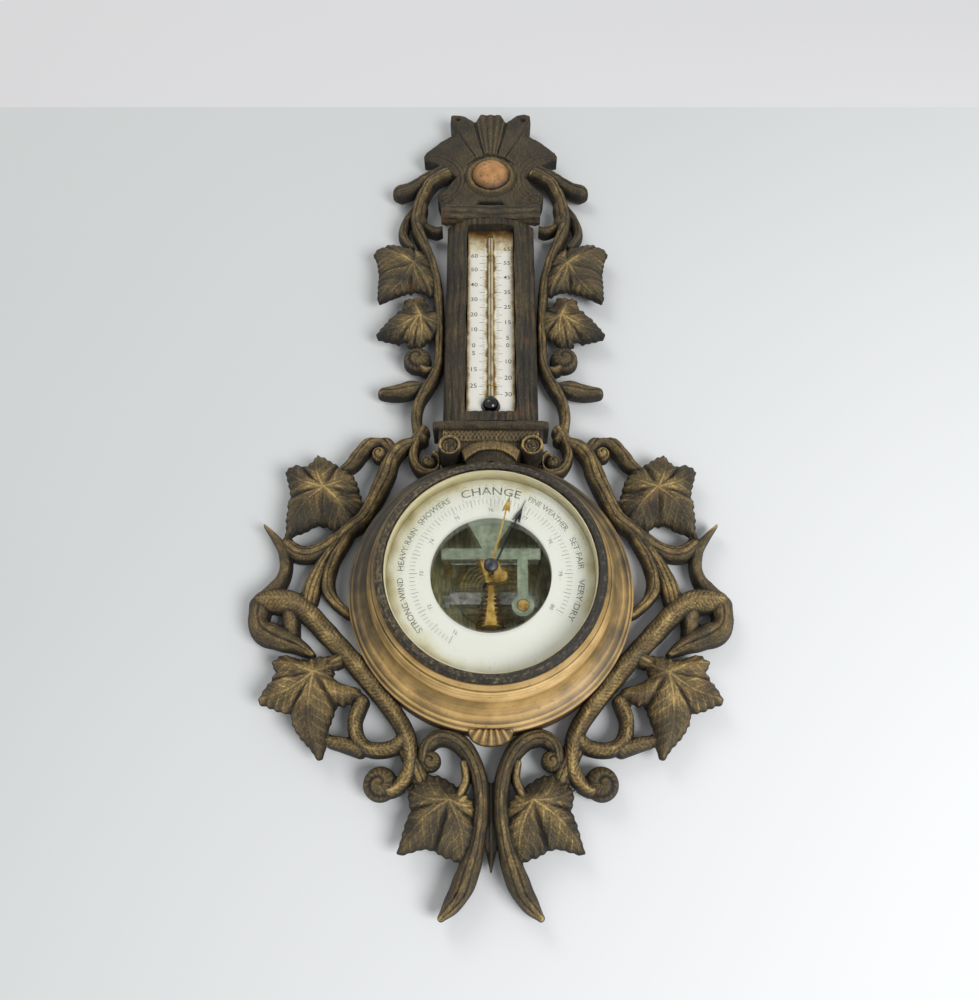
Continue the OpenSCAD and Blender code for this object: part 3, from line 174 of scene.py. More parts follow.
def paper(name, low, high, z, dark, light):
    """A sheet behind the instrument, from low to high along the bench's y."""
    corners = hung([[-3000, low, z], [3000, low, z], [3000, high, z], [-3000, high, z]])
    mesh = bpy.data.meshes.new(name)
    mesh.from_pydata(corners.tolist(), [], [(0, 1, 2, 3)])
    mesh.materials.append(paper_material(name, dark, light))
    sheet = bpy.data.objects.new(name, mesh)
    bpy.context.scene.collection.objects.link(sheet)


set_camera()
set_world()
lamp("window_high_left", (-0.9, -1.6, 0.8), (0, 0, -0.2), 1.1, 9, "#fffdf8")
lamp("window_low_right", (1.0, -1.5, -1.25), (0.1, 0, -0.45), 1.0, 26, "#fdfdff")
paper("paper", -2500, PAPER_TOP, PAPER_BACK, "#dadcdb", "#eaebeb")
paper("wall", PAPER_TOP, 3000, WALL_BACK, "#e8e7e8", "#ebeaeb")
bpy.context.scene.view_settings.view_transform = "Standard"


# Materials

def surface(name, **plain):
    """A Principled material with plain values on its sockets. Returns it, its tree, shader and place."""
    mat = bpy.data.materials.new(name)
    mat.use_nodes = True
    tree = mat.node_tree
    shader = tree.nodes["Principled BSDF"]
    for key, value in plain.items():
        socket = shader.inputs[{"ior": "IOR"}.get(key, key.replace("_", " ").title())]
        socket.default_value = linear(value) if isinstance(value, str) else value
    return mat, tree, shader, add(tree, "ShaderNodeTexCoord").outputs["Object"]


def dress(tree, shader, colour=None, height=None, depth_mm=0.2, rough=None):
    """Joins colour, relief and roughness to the surface. A MIX takes colours at its inputs 6 and 7 and gives
    one at output 2."""
    if colour:
        painted = colour.outputs[2 if colour.bl_idname == MIX else 0]
        tree.links.new(painted, shader.inputs["Base Color"])
    if height:
        relief = add(tree, "ShaderNodeBump", {"Height": height, "Distance": depth_mm * MM, "Strength": 1.0})
        tree.links.new(relief.outputs[0], shader.inputs["Normal"])
    if rough:
        tree.links.new(rough.outputs[0], shader.inputs["Roughness"])


def grain_size(vector, size_mm, detail=3.0, rough=0.55):
    """Inputs of a noise whose lumps are about size_mm wide."""
    return {"Vector": vector, "Scale": 1000.0 / size_mm, "Detail": detail, "Roughness": rough}


def blotched(tree, place, colour, over, size_mm, low, high, most=1.0, detail=3.0, rough=0.55):
    """Colour with another over it in cloudy spots about size_mm wide, where a noise rises past low."""
    cloud = add(tree, NOISE, grain_size(place, size_mm, detail, rough))
    amount = add(tree, RANGE, (cloud, low, high, 0.0, most))
    return add(tree, MIX, {0: amount, 6: colour, 7: over}, data_type="RGBA")


def from_bench(tree, place, point):
    """Distance from a bench point, in metres."""
    off = add(tree, VECTOR, (place, tuple(hung(point)[0])), operation="SUBTRACT")
    return add(tree, VECTOR, (off,), operation="LENGTH").outputs["Value"]


def carved_wood():
    """Carved hardwood under brown-black stain, dry-brushed with bronze paint: the hollows stay near black,
    the ridges show dull ochre, and the fine stipple of the punch breaks the gleam."""
    mat, tree, shader, place = surface("stained_carved_wood", roughness=0.68)
    worn_and_painted_light = add(tree, "ShaderNodeAttribute", attribute_name="wear_and_painted_light").outputs["Fac"]
    grain_at = add(tree, "ShaderNodeUVMap", uv_map="grain")
    fibre_at = add(tree, MAPPING, {"Vector": grain_at, "Scale": (0.16, 1.0, 1.0)})
    fibre = add(tree, NOISE, grain_size(fibre_at, 1.3, 3.0, 0.62))     # gouge marks that follow the carving
    speck = add(tree, NOISE, grain_size(place, 1.5, 2.0, 0.7))         # the punch's stipple
    patch = add(tree, NOISE, grain_size(place, 24, 2.0))
    tone = worn_and_painted_light
    for cloud, share in ((fibre, 0.60), (speck, 0.66), (patch, 0.50)):
        tone = add(tree, MATH, (cloud, share, tone), operation="MULTIPLY_ADD")
    tone = add(tree, MATH, (tone, 0.95), operation="SUBTRACT")
    colour = add(tree, RAMP, {"Fac": tone}, [(0.0, "#130f08"), (0.25, "#2d2515"), (0.5, "#54472b"),
                                             (0.72, "#826c41"), (0.9, "#b3975b"), (1.0, "#ceb477")])
    colour = blotched(tree, place, colour, "#3f3a2b", 40, 0.45, 0.75, 0.4, 1.0)
    colour = blotched(tree, place, colour, "#5f3f29", 17, 0.6, 0.75, 0.35, 1.0)
    lump = add(tree, NOISE, grain_size(place, 4.5, 2.0))
    relief = add(tree, MATH, (speck, 0.7, fibre), operation="MULTIPLY_ADD")
    dress(tree, shader, colour, add(tree, MATH, (lump, 1.2, relief), operation="MULTIPLY_ADD"), 1.0)
    return mat


def sawn_board():
    """The board behind the carving: sawn wood under thin brown stain, its grain running up the plank."""
    mat, tree, shader, place = surface("stained_sawn_board", roughness=0.72)
    at = add(tree, MAPPING, {"Vector": place, "Scale": (1.0, 1.0, 0.06)})
    fibre = add(tree, NOISE, grain_size(at, 2.2, 4.0, 0.65))
    colour = add(tree, RAMP, {"Fac": fibre}, [(0.25, "#3a2b1b"), (0.5, "#624a2f"), (0.75, "#836642")])
    dress(tree, shader, colour, fibre, 0.4)
    return mat


def turned_wood():
    """Turned ring: light tan at the foot, dark at the top, and painted light: lighter right, darker left."""
    mat, tree, shader, place = surface("worn_turned_wood", roughness=0.46)
    worn_and_painted_light = add(tree, "ShaderNodeAttribute", attribute_name="wear_and_painted_light").outputs["Fac"]
    lathe_at = add(tree, "ShaderNodeUVMap", uv_map="grain")
    streak = add(tree, NOISE, grain_size(lathe_at, 1.4, 4.0, 0.62))     # the lathe's fine rings
    patch = add(tree, NOISE, grain_size(place, 24, 3.0))
    tone = worn_and_painted_light
    for cloud, share in ((streak, 0.36), (patch, 0.80)):
        tone = add(tree, MATH, (cloud, share, tone), operation="MULTIPLY_ADD")
    tone = add(tree, MATH, (tone, 0.62), operation="SUBTRACT")
    colour = add(tree, RAMP, {"Fac": tone}, [(0.0, "#1c170e"), (0.25, "#463b26"), (0.5, "#80693f"),
                                             (0.75, "#bd995b"), (1.0, "#dfbc7d")])
    colour = blotched(tree, place, colour, "#4c3d24", 3.6, 0.60, 0.70, 0.6, 4.0, 0.65)
    dress(tree, shader, colour, streak, 0.25)
    return mat


def bare_wood():
    """The boss: bare, pale orange wood with a few open pores, its rim still stained."""
    mat, tree, shader, place = surface("bare_boss_wood", roughness=0.62)
    cloud = add(tree, NOISE, grain_size(place, 7, 4.0))
    colour = add(tree, RAMP, {"Fac": cloud}, [(0.2, "#8a5e36"), (0.5, "#b3824d"), (0.8, "#cb9b63")])
    colour = blotched(tree, place, colour, "#5a3a20", 2.6, 0.63, 0.68, 1.0, 2.0)    # pores
    away = from_bench(tree, place, [0, BOSS_Y, 30])
    reach = add(tree, MATH, (cloud, 0.007, away), operation="MULTIPLY_ADD")
    rim = add(tree, RANGE, (reach, 0.0175, 0.0225))
    dress(tree, shader, add(tree, MIX, {0: rim, 6: colour, 7: "#4a3b29"}, data_type="RGBA"),
          add(tree, NOISE, grain_size(place, 1.5)), 0.3)
    return mat


def old_metal(name, dark, base, light, rough=0.36, brushed=None, tarnish=0.35, spot_mm=5.0, metallic=1.0):
    """Sheet or turned metal with tarnish in cloudy spots; brushed stretches its fine grain."""
    mat, tree, shader, place = surface(name, metallic=metallic, roughness=rough)
    at = add(tree, MAPPING, {"Vector": place, "Scale": brushed or (1, 1, 1)})
    cloud = add(tree, NOISE, grain_size(at, spot_mm, 4.0, 0.62))
    colour = add(tree, RAMP, {"Fac": cloud}, [(0.3, dark), (0.5, base), (0.72, light)])
    colour = blotched(tree, place, colour, dark, spot_mm * 2.7, 0.45, 0.72, tarnish)
    fine = add(tree, NOISE, grain_size(at, 1.1))
    dress(tree, shader, colour, fine, 0.06, add(tree, RANGE, (fine, 0.3, 0.7, rough - 0.06, rough + 0.12)))
    return mat


def black_lacquer():
    """Spun bezel under brown-black lacquer, rubbed through to ochre in spots, more of them on the left."""
    mat, tree, shader, place = surface("worn_black_lacquer", roughness=0.55)
    x = add(tree, SPLIT, (place,)).outputs[0]
    spots = add(tree, NOISE, grain_size(place, 3.2, 5.0, 0.7))
    worn_and_painted_light = add(tree, "ShaderNodeAttribute", attribute_name="wear_and_painted_light").outputs["Fac"]
    amount = add(tree, MATH, (x, -0.55, spots), operation="MULTIPLY_ADD")
    amount = add(tree, MATH, (worn_and_painted_light, 0.12, amount), operation="MULTIPLY_ADD")
    colour = add(tree, RAMP, {"Fac": amount}, [(0.50, "#17130d"), (0.60, "#2e271a"), (0.68, "#5d5034"),
                                               (0.85, "#968858")])
    dress(tree, shader, colour, spots, 0.25)
    return mat


def silvered_dial():
    """Silvered brass under yellowed lacquer: clean near the open centre, brown and speckled at the edge."""
    mat, tree, shader, place = surface("silvered_dial", roughness=0.55)
    radius = from_bench(tree, place, [0, 0, DIAL_Z])
    cloud = add(tree, NOISE, grain_size(place, 16, 4.0))
    reach = add(tree, MATH, (cloud, 0.014, radius), operation="MULTIPLY_ADD")
    side = add(tree, MATH, (add(tree, SPLIT, (place,)).outputs[0], -0.03, reach),
               operation="MULTIPLY_ADD")
    bright = add(tree, NOISE, grain_size(place, 38, 2.0))
    side = add(tree, MATH, (bright, 0.02, side), operation="MULTIPLY_ADD")
    edge = add(tree, RANGE, (side, 0.0865, 0.1025))
    colour = add(tree, RAMP, {"Fac": edge}, [(0.0, "#e6e7dc"), (0.40, "#dddcc6"), (0.72, "#bdb48c"),
                                             (1.0, "#8f8358")])
    speck = add(tree, RANGE, (add(tree, NOISE, grain_size(place, 1.8, 3.0)), 0.64, 0.72, 0.0, 0.7))
    far = add(tree, RANGE, (radius, 0.062, 0.082))
    amount = add(tree, MATH, (speck, far), operation="MULTIPLY")
    dress(tree, shader, add(tree, MIX, {0: amount, 6: colour, 7: "#5b5236"}, data_type="RGBA"),
          add(tree, NOISE, grain_size(place, 0.9)), 0.03)
    return mat


def cream_paint():
    """Yellowed cream paint of the band round the dial, darker towards its foot at the dial."""
    mat, tree, shader, place = surface("cream_band_paint", roughness=0.55)
    depth = add(tree, SPLIT, (place,)).outputs[1]
    cloud = add(tree, NOISE, grain_size(place, 7))
    low = add(tree, MATH, (cloud, 0.008, depth), operation="MULTIPLY_ADD")
    foot = add(tree, RANGE, (low, -0.07, -0.058))
    colour = add(tree, RAMP, {"Fac": foot}, [(0.0, "#dcd3ad"), (0.6, "#b5a878"), (1.0, "#7d7048")])
    dress(tree, shader, colour)
    return mat


def milk_glass():
    """Milk glass plate, brown at its top, its edges and along the tube."""
    mat, tree, shader, place = surface("browned_milk_glass", roughness=0.3)
    split = add(tree, SPLIT, (place,))
    cloud = add(tree, NOISE, grain_size(place, 9, 4.0, 0.6))
    wide = add(tree, MATH, (split.outputs[0],), operation="ABSOLUTE")
    high = add(tree, MATH, (cloud, 0.03, split.outputs[2]), operation="MULTIPLY_ADD")
    top = add(tree, RANGE, (high, 0.345 - HANG * MM, 0.375 - HANG * MM))
    near = add(tree, MATH, (cloud, -0.0085, wide), operation="MULTIPLY_ADD")
    tube = add(tree, RANGE, (near, 0.0018, -0.0015, 0.0, 0.9))
    out = add(tree, MATH, (cloud, 0.005, wide), operation="MULTIPLY_ADD")
    edge = add(tree, RANGE, (out, 0.0205, 0.0245))
    amount = add(tree, MATH, (add(tree, MATH, (top, tube), operation="MAXIMUM"), edge), operation="MAXIMUM")
    colour = add(tree, RAMP, {"Fac": amount}, [(0.0, "#e6e3d8"), (0.35, "#d3c7a4"), (0.75, "#86683a"),
                                               (1.0, "#4c361a")])
    dress(tree, shader, colour)
    return mat


def thermometer_glass():
    """Drawn glass over a cream backing, with the dark bore line; the bulb shows its mercury as black."""
    mat, tree, shader, place = surface("thermometer_glass", roughness=0.1)
    split = add(tree, SPLIT, (place,))
    wide = add(tree, MATH, (split.outputs[0],), operation="ABSOLUTE")
    bore = add(tree, RANGE, (wide, 0.0008, 0.0005, 0.0, 0.85))
    colour = blotched(tree, place, "#cfc19a", "#836a3c", 14, 0.45, 0.7)
    colour = add(tree, MIX, {0: bore, 6: colour, 7: "#2b2112"}, data_type="RGBA")
    bulb = add(tree, RANGE, (split.outputs[2], 0.1745 - HANG * MM, 0.1735 - HANG * MM))
    dress(tree, shader, add(tree, MIX, {0: bulb, 6: colour, 7: "#050506"}, data_type="RGBA"))
    return mat


def printed_ink(name, colour, fade):
    """Ink of the scales, worn thin in places."""
    mat, tree, shader, place = surface(name, roughness=0.6)
    dress(tree, shader, blotched(tree, place, colour, fade, 5, 0.5, 0.75))
    return mat


CARVED, TURNED, BARE, BOARD = carved_wood(), turned_wood(), bare_wood(), sawn_board()
BRASS = old_metal("aged_brass", "#6b5222", "#bb9748", "#dcc07c", 0.34)
STEEL = old_metal("plain_steel", "#55564c", "#8f918a", "#b9bab2", 0.34)
BRIDGE = old_metal("grey_green_sheet_steel", "#5d6650", "#85907a", "#a2ab94", 0.5, tarnish=0.45,
                   metallic=0.4)
BLUED = old_metal("blued_steel", "#15161a", "#25272f", "#3c4150", 0.3)
CAPSULE = old_metal("olive_nickel_silver", "#48421f", "#8b7f49", "#bdae69", 0.46, (0.25, 1, 1.6), 0.6,
                    3.0, 0.35)
FLOOR = old_metal("streaky_olive_brass", "#45452a", "#8b875a", "#c0bb86", 0.5, (1.4, 1, 0.2), 0.7, 3.4, 0.4)
TIN = old_metal("dull_tinplate", "#5c553c", "#9b9474", "#bdb698", 0.5)
KNOB = old_metal("dark_patina", "#2a2a2d", "#4c4d50", "#6b6d72", 0.4)
SPRING = old_metal("bronze_wire", "#7a5c2c", "#cba968", "#e9d49c", 0.34)
LACQUER, SILVERED, CREAM = black_lacquer(), silvered_dial(), cream_paint()
MILK, TUBE = milk_glass(), thermometer_glass()
# Thin flat sheet glass with a faint green tint: most light goes straight through, so the dial stays bright
WINDOW = surface("window_glass", roughness=0.0, ior=1.45, transmission_weight=1.0, alpha=0.15,
                 base_color="#f6faf6")[0]
MERCURY = surface("mercury", base_color="#b9bbc0", metallic=1.0, roughness=0.06)[0]
DIAL_INK = printed_ink("dial_ink", "#34352c", "#85857a")
SCALE_INK = printed_ink("scale_ink", "#2a2419", "#6d6249")


# Meshes

def piece(name, points, faces, material, slot, node=(), smooth=40.0, wear_and_painted_light=None, grain=None):
    """A finished piece from points in metres; it stands for the CAD node named."""
    mesh = bpy.data.meshes.new(name)
    mesh.from_pydata([tuple(p) for p in points], [], faces)
    if wear_and_painted_light is not None:
        mesh.attributes.new("wear_and_painted_light", "FLOAT", "POINT").data.foreach_set("value", np.asarray(wear_and_painted_light, np.float32))
    if grain is not None:
        corner = np.empty(len(mesh.loops), np.int32)
        mesh.loops.foreach_get("vertex_index", corner)
        at = np.asarray(grain, np.float32)[corner]
        mesh.uv_layers.new(name="grain").data.foreach_set("uv", at.ravel())
    mesh.shade_smooth()
    mesh.set_sharp_from_angle(angle=math.radians(smooth))
    mesh.materials.append(material)
    mesh.validate()
    place_piece(name, mesh, slot, node)


def place_piece(name, mesh, slot, node, body="root"):
    """Puts a mesh in the scene as a piece of the body; node names the CAD node it stands for, or is ()."""
    obj = bpy.data.objects.new(name, mesh)
    bpy.context.scene.collection.objects.link(obj)
    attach(obj, body)
    if node:
        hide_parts(node)


def lattice_noise(x, y, seed):
    """Smooth random field from -1 to 1 on unit cells."""
    def corner(i, j):
        return ((np.sin(i * 127.1 + j * 311.7 + seed * 74.7) * 43758.5453) % 1) * 2 - 1
    i, j = np.floor(x), np.floor(y)
    u, v = x - i, y - j
    u, v = u * u * (3 - 2 * u), v * v * (3 - 2 * v)
    low = corner(i, j) * (1 - u) + corner(i + 1, j) * u
    high = corner(i, j + 1) * (1 - u) + corner(i + 1, j + 1) * u
    return low * (1 - v) + high * v


def ripple(x, power=1):
    """Waves from 0 to 1 along x, with narrower crests for a higher power."""
    return (0.5 + 0.5 * np.cos(x)) ** power


def hill(away, wide, power=2):
    """A smooth hill, 1 where away is 0 and near 0 beyond wide; a higher power gives it a flat top."""
    return np.exp(-(away / wide) ** power)


def smooth_path(points, step=1.5):
    """Points along a smooth curve through the given ones; every column is carried along."""
    p = np.array(points, float)
    out = []
    for i in range(len(p) - 1):
        a, b, c, d = p[max(i - 1, 0)], p[i], p[i + 1], p[min(i + 2, len(p) - 1)]
        n = max(2, int(np.hypot(*(c - b)[:2]) / step))
        t = np.arange(n)[:, None] / n
        out.append(0.5 * (2 * b + (c - a) * t + (2 * a - 5 * b + 4 * c - d) * t ** 2
                          + (3 * b - a - 3 * c + d) * t ** 3))
    return np.vstack(out + [p[-1:]])


def outline_distance(q, loop):
    """Signed distance from points to a closed outline, positive inside."""
    best = np.full(len(q), 1e9)
    inside = np.zeros(len(q), bool)
    for a, b in zip(loop, np.roll(loop, -1, 0)):
        edge = b - a
        t = np.clip(((q - a) @ edge) / max(edge @ edge, 1e-12), 0, 1)
        best = np.minimum(best, ((q - a - t[:, None] * edge) ** 2).sum(1))
        crosses = (a[1] > q[:, 1]) != (b[1] > q[:, 1])
        if edge[1]:
            inside ^= crosses & (q[:, 0] < a[0] + (q[:, 1] - a[1]) / edge[1] * edge[0])
    return np.where(inside, 1, -1) * np.sqrt(best)


# Carved forms. A form answers, for bench points q: the distance inside its outline, the height there, the
# two coordinates along and across its grain, and how much of the gilding is left, with some painted shade
# in it. Its rim is the height of its widest outline, and its box is where to ask.

def vine(points, high=STEM, flutes=2, cuts=0.0, seed=0, tone=0.5):
    """A carved vine along [x, y, width] points: round, with fine grooves along it, and with scales across it
    where cuts is not 0."""
    path = smooth_path(points)
    run = np.concatenate(([0], np.cumsum(np.hypot(*np.diff(path[:, :2], axis=0).T))))
    widest = path[:, 2].max()

    def form(q):
        away = ((q[:, None, :] - path[None, :, :2]) ** 2).sum(2)
        near = away.argmin(1)
        ahead = path[np.minimum(near + 1, len(path) - 1), :2] - path[np.maximum(near - 1, 0), :2]
        ahead /= np.linalg.norm(ahead, axis=1)[:, None]
        off = q - path[near, :2]
        along = (off * ahead).sum(1)
        across = off[:, 1] * ahead[:, 0] - off[:, 0] * ahead[:, 1]
        beyond = ((near == 0) & (along < 0)) | ((near == len(path) - 1) & (along > 0))
        distance = np.where(beyond, np.sqrt(away[np.arange(len(q)), near]), np.abs(across))
        s = run[near] + along
        half = np.interp(s, run, path[:, 2]) / 2
        half = half * (1 + 0.05 * lattice_noise(s / 9, 0 * s, seed))
        u = np.clip(distance / half, 0, 1)
        full = high * (0.8 + 0.2 * np.minimum(1, half * 2 / widest))
        z = 0.5 * full + 0.5 * full * np.sqrt(1 - u ** 2.3)
        v = across / half
        body = 1 - u ** 4
        drift = 0.18 * lattice_noise(s / 19, 0 * s, seed + 3)
        groove = ripple(2 * math.pi * ((v + drift) * flutes / 2 + 0.5 * (flutes % 2)), 9)
        z = z - (0.7 + 0.05 * half) * groove * body
        wrinkle = ripple(2 * math.pi * ((v + 1.6 * drift) * (flutes + 1.5)), 3)
        z = z - 0.22 * wrinkle * body
        gilt_and_painted_shade = tone + 0.2 - 0.42 * u ** 1.6 - 0.2 * groove + 0.10 * lattice_noise(s / 6, 2 * v, seed + 7)
        if cuts:
            slant = s + cuts * np.abs(across) * 0.8
            teeth = (slant / 3.4 + 0.25 * lattice_noise(s / 5, v, seed + 5)) % 1
            flank = np.clip((np.abs(v) - 0.05) * 5, 0.1, 1) * body
            z = z - 0.75 * teeth ** 2 * flank
            gilt_and_painted_shade = gilt_and_painted_shade - 0.16 * teeth ** 2 * flank
        z = z + (0.9 * lattice_noise(s / 8, v * 1.4, seed + 9)
                 + 0.35 * lattice_noise(s / 2.6, v * 3.5, seed + 11)) * body
        return half - distance, z, s, across, gilt_and_painted_shade
    form.box = (path[:, :2].min(0) - widest, path[:, :2].max(0) + widest)
    form.rim = 0.5 * high
    return form


def knob(x, y, r, high=STEM, turns=1.3, tone=0.42):
    """The rolled end of a vine: a dome with a spiral groove and fine cuts that fan out from its middle."""
    def form(q):
        dx, dy = q[:, 0] - x, q[:, 1] - y
        ray = np.hypot(dx, dy)
        angle = np.arctan2(dy, dx)
        u = np.clip(ray / r, 0, 1)
        z = 0.5 * high + 0.5 * high * np.sqrt(1 - u ** 3)
        turn = (angle / (2 * math.pi) * (1 if x > 0 else -1) + ray / r * turns + 0.3) % 1
        coil = ripple(2 * math.pi * turn, 5) * np.clip(u * 4, 0, 1) * (1 - u ** 6)
        fan = ripple(angle * 15 + 0.5 * ray, 2) * np.clip(u * 3 - 0.6, 0, 1) * (1 - u ** 8)
        z = z - 1.8 * coil - 0.55 * fan
        return r - ray, z, ray, angle * r * 0.7, tone + 0.16 - 0.3 * u ** 2 - 0.22 * coil - 0.12 * fan
    form.box = (np.array([x - r - 2, y - r - 2]), np.array([x + r + 2, y + r + 2]))
    form.rim = 0.5 * high
    return form


def leaf(centre, edge, high=LEAF, thick=17.0, base=None, seed=0, tone=0.5):
    """A vine leaf: edge points are [x, y, rise] where rise 1 marks a lobe's tip. Raised veins run from the
    centre to the tips, finer ones branch from them, and between the lobes the blade folds down."""
    marks = np.array(edge, float)
    c = np.array(centre, float)
    loop = smooth_path(np.vstack((marks, marks[:1])), 1.4)[:-1, :2]
    ray = loop - c
    size = np.linalg.norm(ray, axis=1)
    run = np.concatenate(([0], np.cumsum(np.hypot(*np.diff(loop, axis=0).T))))
    teeth = np.abs(((run / 6.5) % 1) * 2 - 1)
    loop = c + ray * (1 + (teeth[:, None] - 0.5) * 1.8 / np.maximum(size, 10)[:, None])
    tips = [m[:2] for m in marks if m[2] >= 0.7]
    if base is not None:
        tips.append(np.array(base, float))
    far = size.max()

    def form(q):
        inside = outline_distance(q, loop)
        best, second = np.full(len(q), 1e9), np.full(len(q), 1e9)
        a_best, side, reach = np.zeros(len(q)), np.zeros(len(q)), np.zeros(len(q))
        for k, tip in enumerate(tips):
            way = tip - c
            length = np.linalg.norm(way)
            way = way / length
            a = (q - c) @ way
            d = (q[:, 1] - c[1]) * way[0] - (q[:, 0] - c[0]) * way[1]
            d = d - 0.08 * length * np.sin(np.clip(a / length, 0, 1) * math.pi) * (1 if k % 2 else -1)
            gap = np.where(a > 0, np.abs(d), np.hypot(a, d))
            closer = gap < best
            second = np.where(closer, best, np.minimum(second, gap))
            best = np.where(closer, gap, best)
            a_best, side = np.where(closer, a, a_best), np.where(closer, d, side)
            reach = np.where(closer, np.clip(a / length, 0, 1), reach)
        out = np.clip(inside, 0, None)
        dome = 1 - np.exp(-out / 5.0)
        z = thick + (high - thick) * (0.72 * dome + 0.28 * (1 - reach) * dome)
        z = z - 1.1 * hill(best, 3.0) * dome * (1 - 0.4 * reach)
        fold = hill(second - best, 3.4) * np.clip((best - 1.5) / 5, 0, 1)
        z = z - 3.2 * fold
        rib = hill(best, 0.75) * (1 - 0.6 * reach)
        z = z + 0.9 * rib
        wander = lattice_noise(q[:, 0] / 9, q[:, 1] / 9, seed)
        branch = ripple(2 * math.pi * (a_best - 0.8 * best + 1.6 * wander) / 7.5, 10)
        branch = branch * np.clip((best - 0.8) / 2, 0, 1) * np.clip(out / 3, 0, 1)
        z = z + 0.4 * branch
        fan = ripple(2 * math.pi * (a_best - 1.1 * best + wander) / 2.9)
        z = z - 0.22 * fan * np.clip(best / 3, 0, 1)
        z = z + 1.3 * lattice_noise(q[:, 0] / 13, q[:, 1] / 13, seed + 1) * dome
        spread = np.hypot(*(q - c).T) / far
        gilt_and_painted_shade = tone + 0.24 - 0.5 * spread ** 1.3 + 0.2 * rib + 0.12 * branch - 0.05 * fan - 0.22 * fold
        gilt_and_painted_shade = gilt_and_painted_shade + 0.2 * lattice_noise(q[:, 0] / 10, q[:, 1] / 10, seed + 4) - 0.12 * np.exp(-out / 1.2)
        return inside, z, a_best, side, gilt_and_painted_shade
    form.box = (loop.min(0) - 2, loop.max(0) + 2)
    form.rim = thick
    return form


def slab(loop, height, ease=3.0, drop=5.0):
    """A board with an outline; height(x, y) gives height and gilding, which can hold painted shade, and the
    edge rounds down by drop.
    """
    loop = np.array(loop, float)

    def form(q):
        inside = outline_distance(q, loop)
        u = np.clip(inside / ease, 0, 1)
        z, gilt_and_painted_shade = height(q[:, 0], q[:, 1])
        z = z - drop * (1 - np.sqrt(np.clip(1 - (1 - u) ** 2, 0, 1)))
        return inside, z, q[:, 1] * 1.0, q[:, 0] * 1.0, gilt_and_painted_shade - 0.15 * (1 - u)
    form.box = (loop.min(0) - 2, loop.max(0) + 2)
    form.rim = FREE
    return form


def mirrored(form):
    """The same form on the left."""
    def other(q):
        return form(q * np.array([-1, 1]))
    low, high = form.box
    other.box = (np.array([-high[0], low[1]]), np.array([-low[0], high[1]]))
    other.rim = form.rim
    return other


def everywhere(value):
    """A region or a floor that is the same at every point."""
    return lambda q: np.full(len(q), float(value))


def survey(forms, keep, q):
    """What a carving of several forms is at bench points q: distance inside its outline, height, grain along
    and across, gilding with painted shade, rim, and distance inside the forms alone, where keep doesn't cut
    them off."""
    inside = np.full(len(q), UNDER)
    heights = np.full((len(forms), len(q)), UNDER)
    top, rim = np.full(len(q), UNDER), np.full(len(q), 10.0)
    s, d, gilt_and_painted_shade = np.zeros(len(q)), np.zeros(len(q)), np.zeros(len(q))
    for k, form in enumerate(forms):
        low, high = form.box
        here = np.flatnonzero((q >= low).all(1) & (q <= high).all(1))
        if not len(here):
            continue
        i, z, *rest = form(q[here])
        inside[here] = np.maximum(inside[here], i)
        own = i > -1.5
        spot = here[own]
        heights[k, spot] = z[own]
        first = z[own] > top[spot]
        spot = spot[first]
        top[spot], rim[spot] = z[own][first], form.rim
        for kept, new in zip((s, d, gilt_and_painted_shade), rest):
            kept[spot] = new[own][first]
    soft = 0.9
    # forms run into each other with a fillet
    z = top + soft * np.log(np.exp((heights - top) / soft).sum(0))
    return np.minimum(inside, keep(q)), z, s, d, gilt_and_painted_shade, rim, inside


def triangle_grid(low, high, g):
    """A triangle grid over a box: its points, g apart, and its triangles."""
    rows, cols = int((high[1] - low[1]) / (g * ROW)) + 3, int((high[0] - low[0]) / g) + 3
    j, i = np.mgrid[0:rows, 0:cols]
    q = np.stack((low[0] - g + (i + 0.5 * (j % 2)) * g, low[1] - g + j * g * ROW), -1).reshape(-1, 2)
    a = (j * cols + i)[:-1, :-1]
    odd = (j[:-1, :-1] % 2).astype(bool)
    b, c, e = a + 1, a + cols, a + cols + 1
    tri = np.concatenate((
        np.stack((a, b, np.where(odd, e, c)), -1).reshape(-1, 3),
        np.stack((np.where(odd, a, b), e, c), -1).reshape(-1, 3)))
    return q, tri


def open_edges(tri):
    """The edges that only one triangle has, in its direction."""
    edges = np.concatenate((tri[:, [0, 1]], tri[:, [1, 2]], tri[:, [2, 0]])).tolist()
    known = {(u, v) for u, v in edges}
    return [(u, v) for u, v in edges if (v, u) not in known]


def fit_border(q, rim, border, inside, g):
    """Pulls the border's points onto the outline, where inside is 0, and eases them between neighbours."""
    reach = 0.05 * np.eye(2)
    for _ in range(3):
        p = q[border]
        slope = np.column_stack([inside(p + step) - inside(p - step) for step in reach]) / 0.1
        move = -(inside(p) / np.maximum((slope ** 2).sum(1), 0.25))[:, None] * slope
        far = np.maximum(np.linalg.norm(move, axis=1), 1e-9)
        q[border] = p + move * np.minimum(1, 0.6 * g / far)[:, None]
    after = dict(rim)
    before = {v: u for u, v in after.items()}
    eased = q.copy()
    for u in border.tolist():
        if u in after and u in before:
            eased[u] = 0.5 * q[u] + 0.25 * (q[after[u]] + q[before[u]])
    return eased


def local_mean(z, tri):
    """The mean height round each point, against which ridges and hollows show."""
    mean = z.copy()
    for _ in range(5):
        total, count = np.zeros(len(z)), np.zeros(len(z))
        for u, v in ((0, 1), (1, 2), (2, 0)):
            np.add.at(total, tri[:, u], mean[tri[:, v]])
            np.add.at(count, tri[:, u], 1)
        mean = 0.3 * mean + 0.7 * total / np.maximum(count, 1)
    return mean


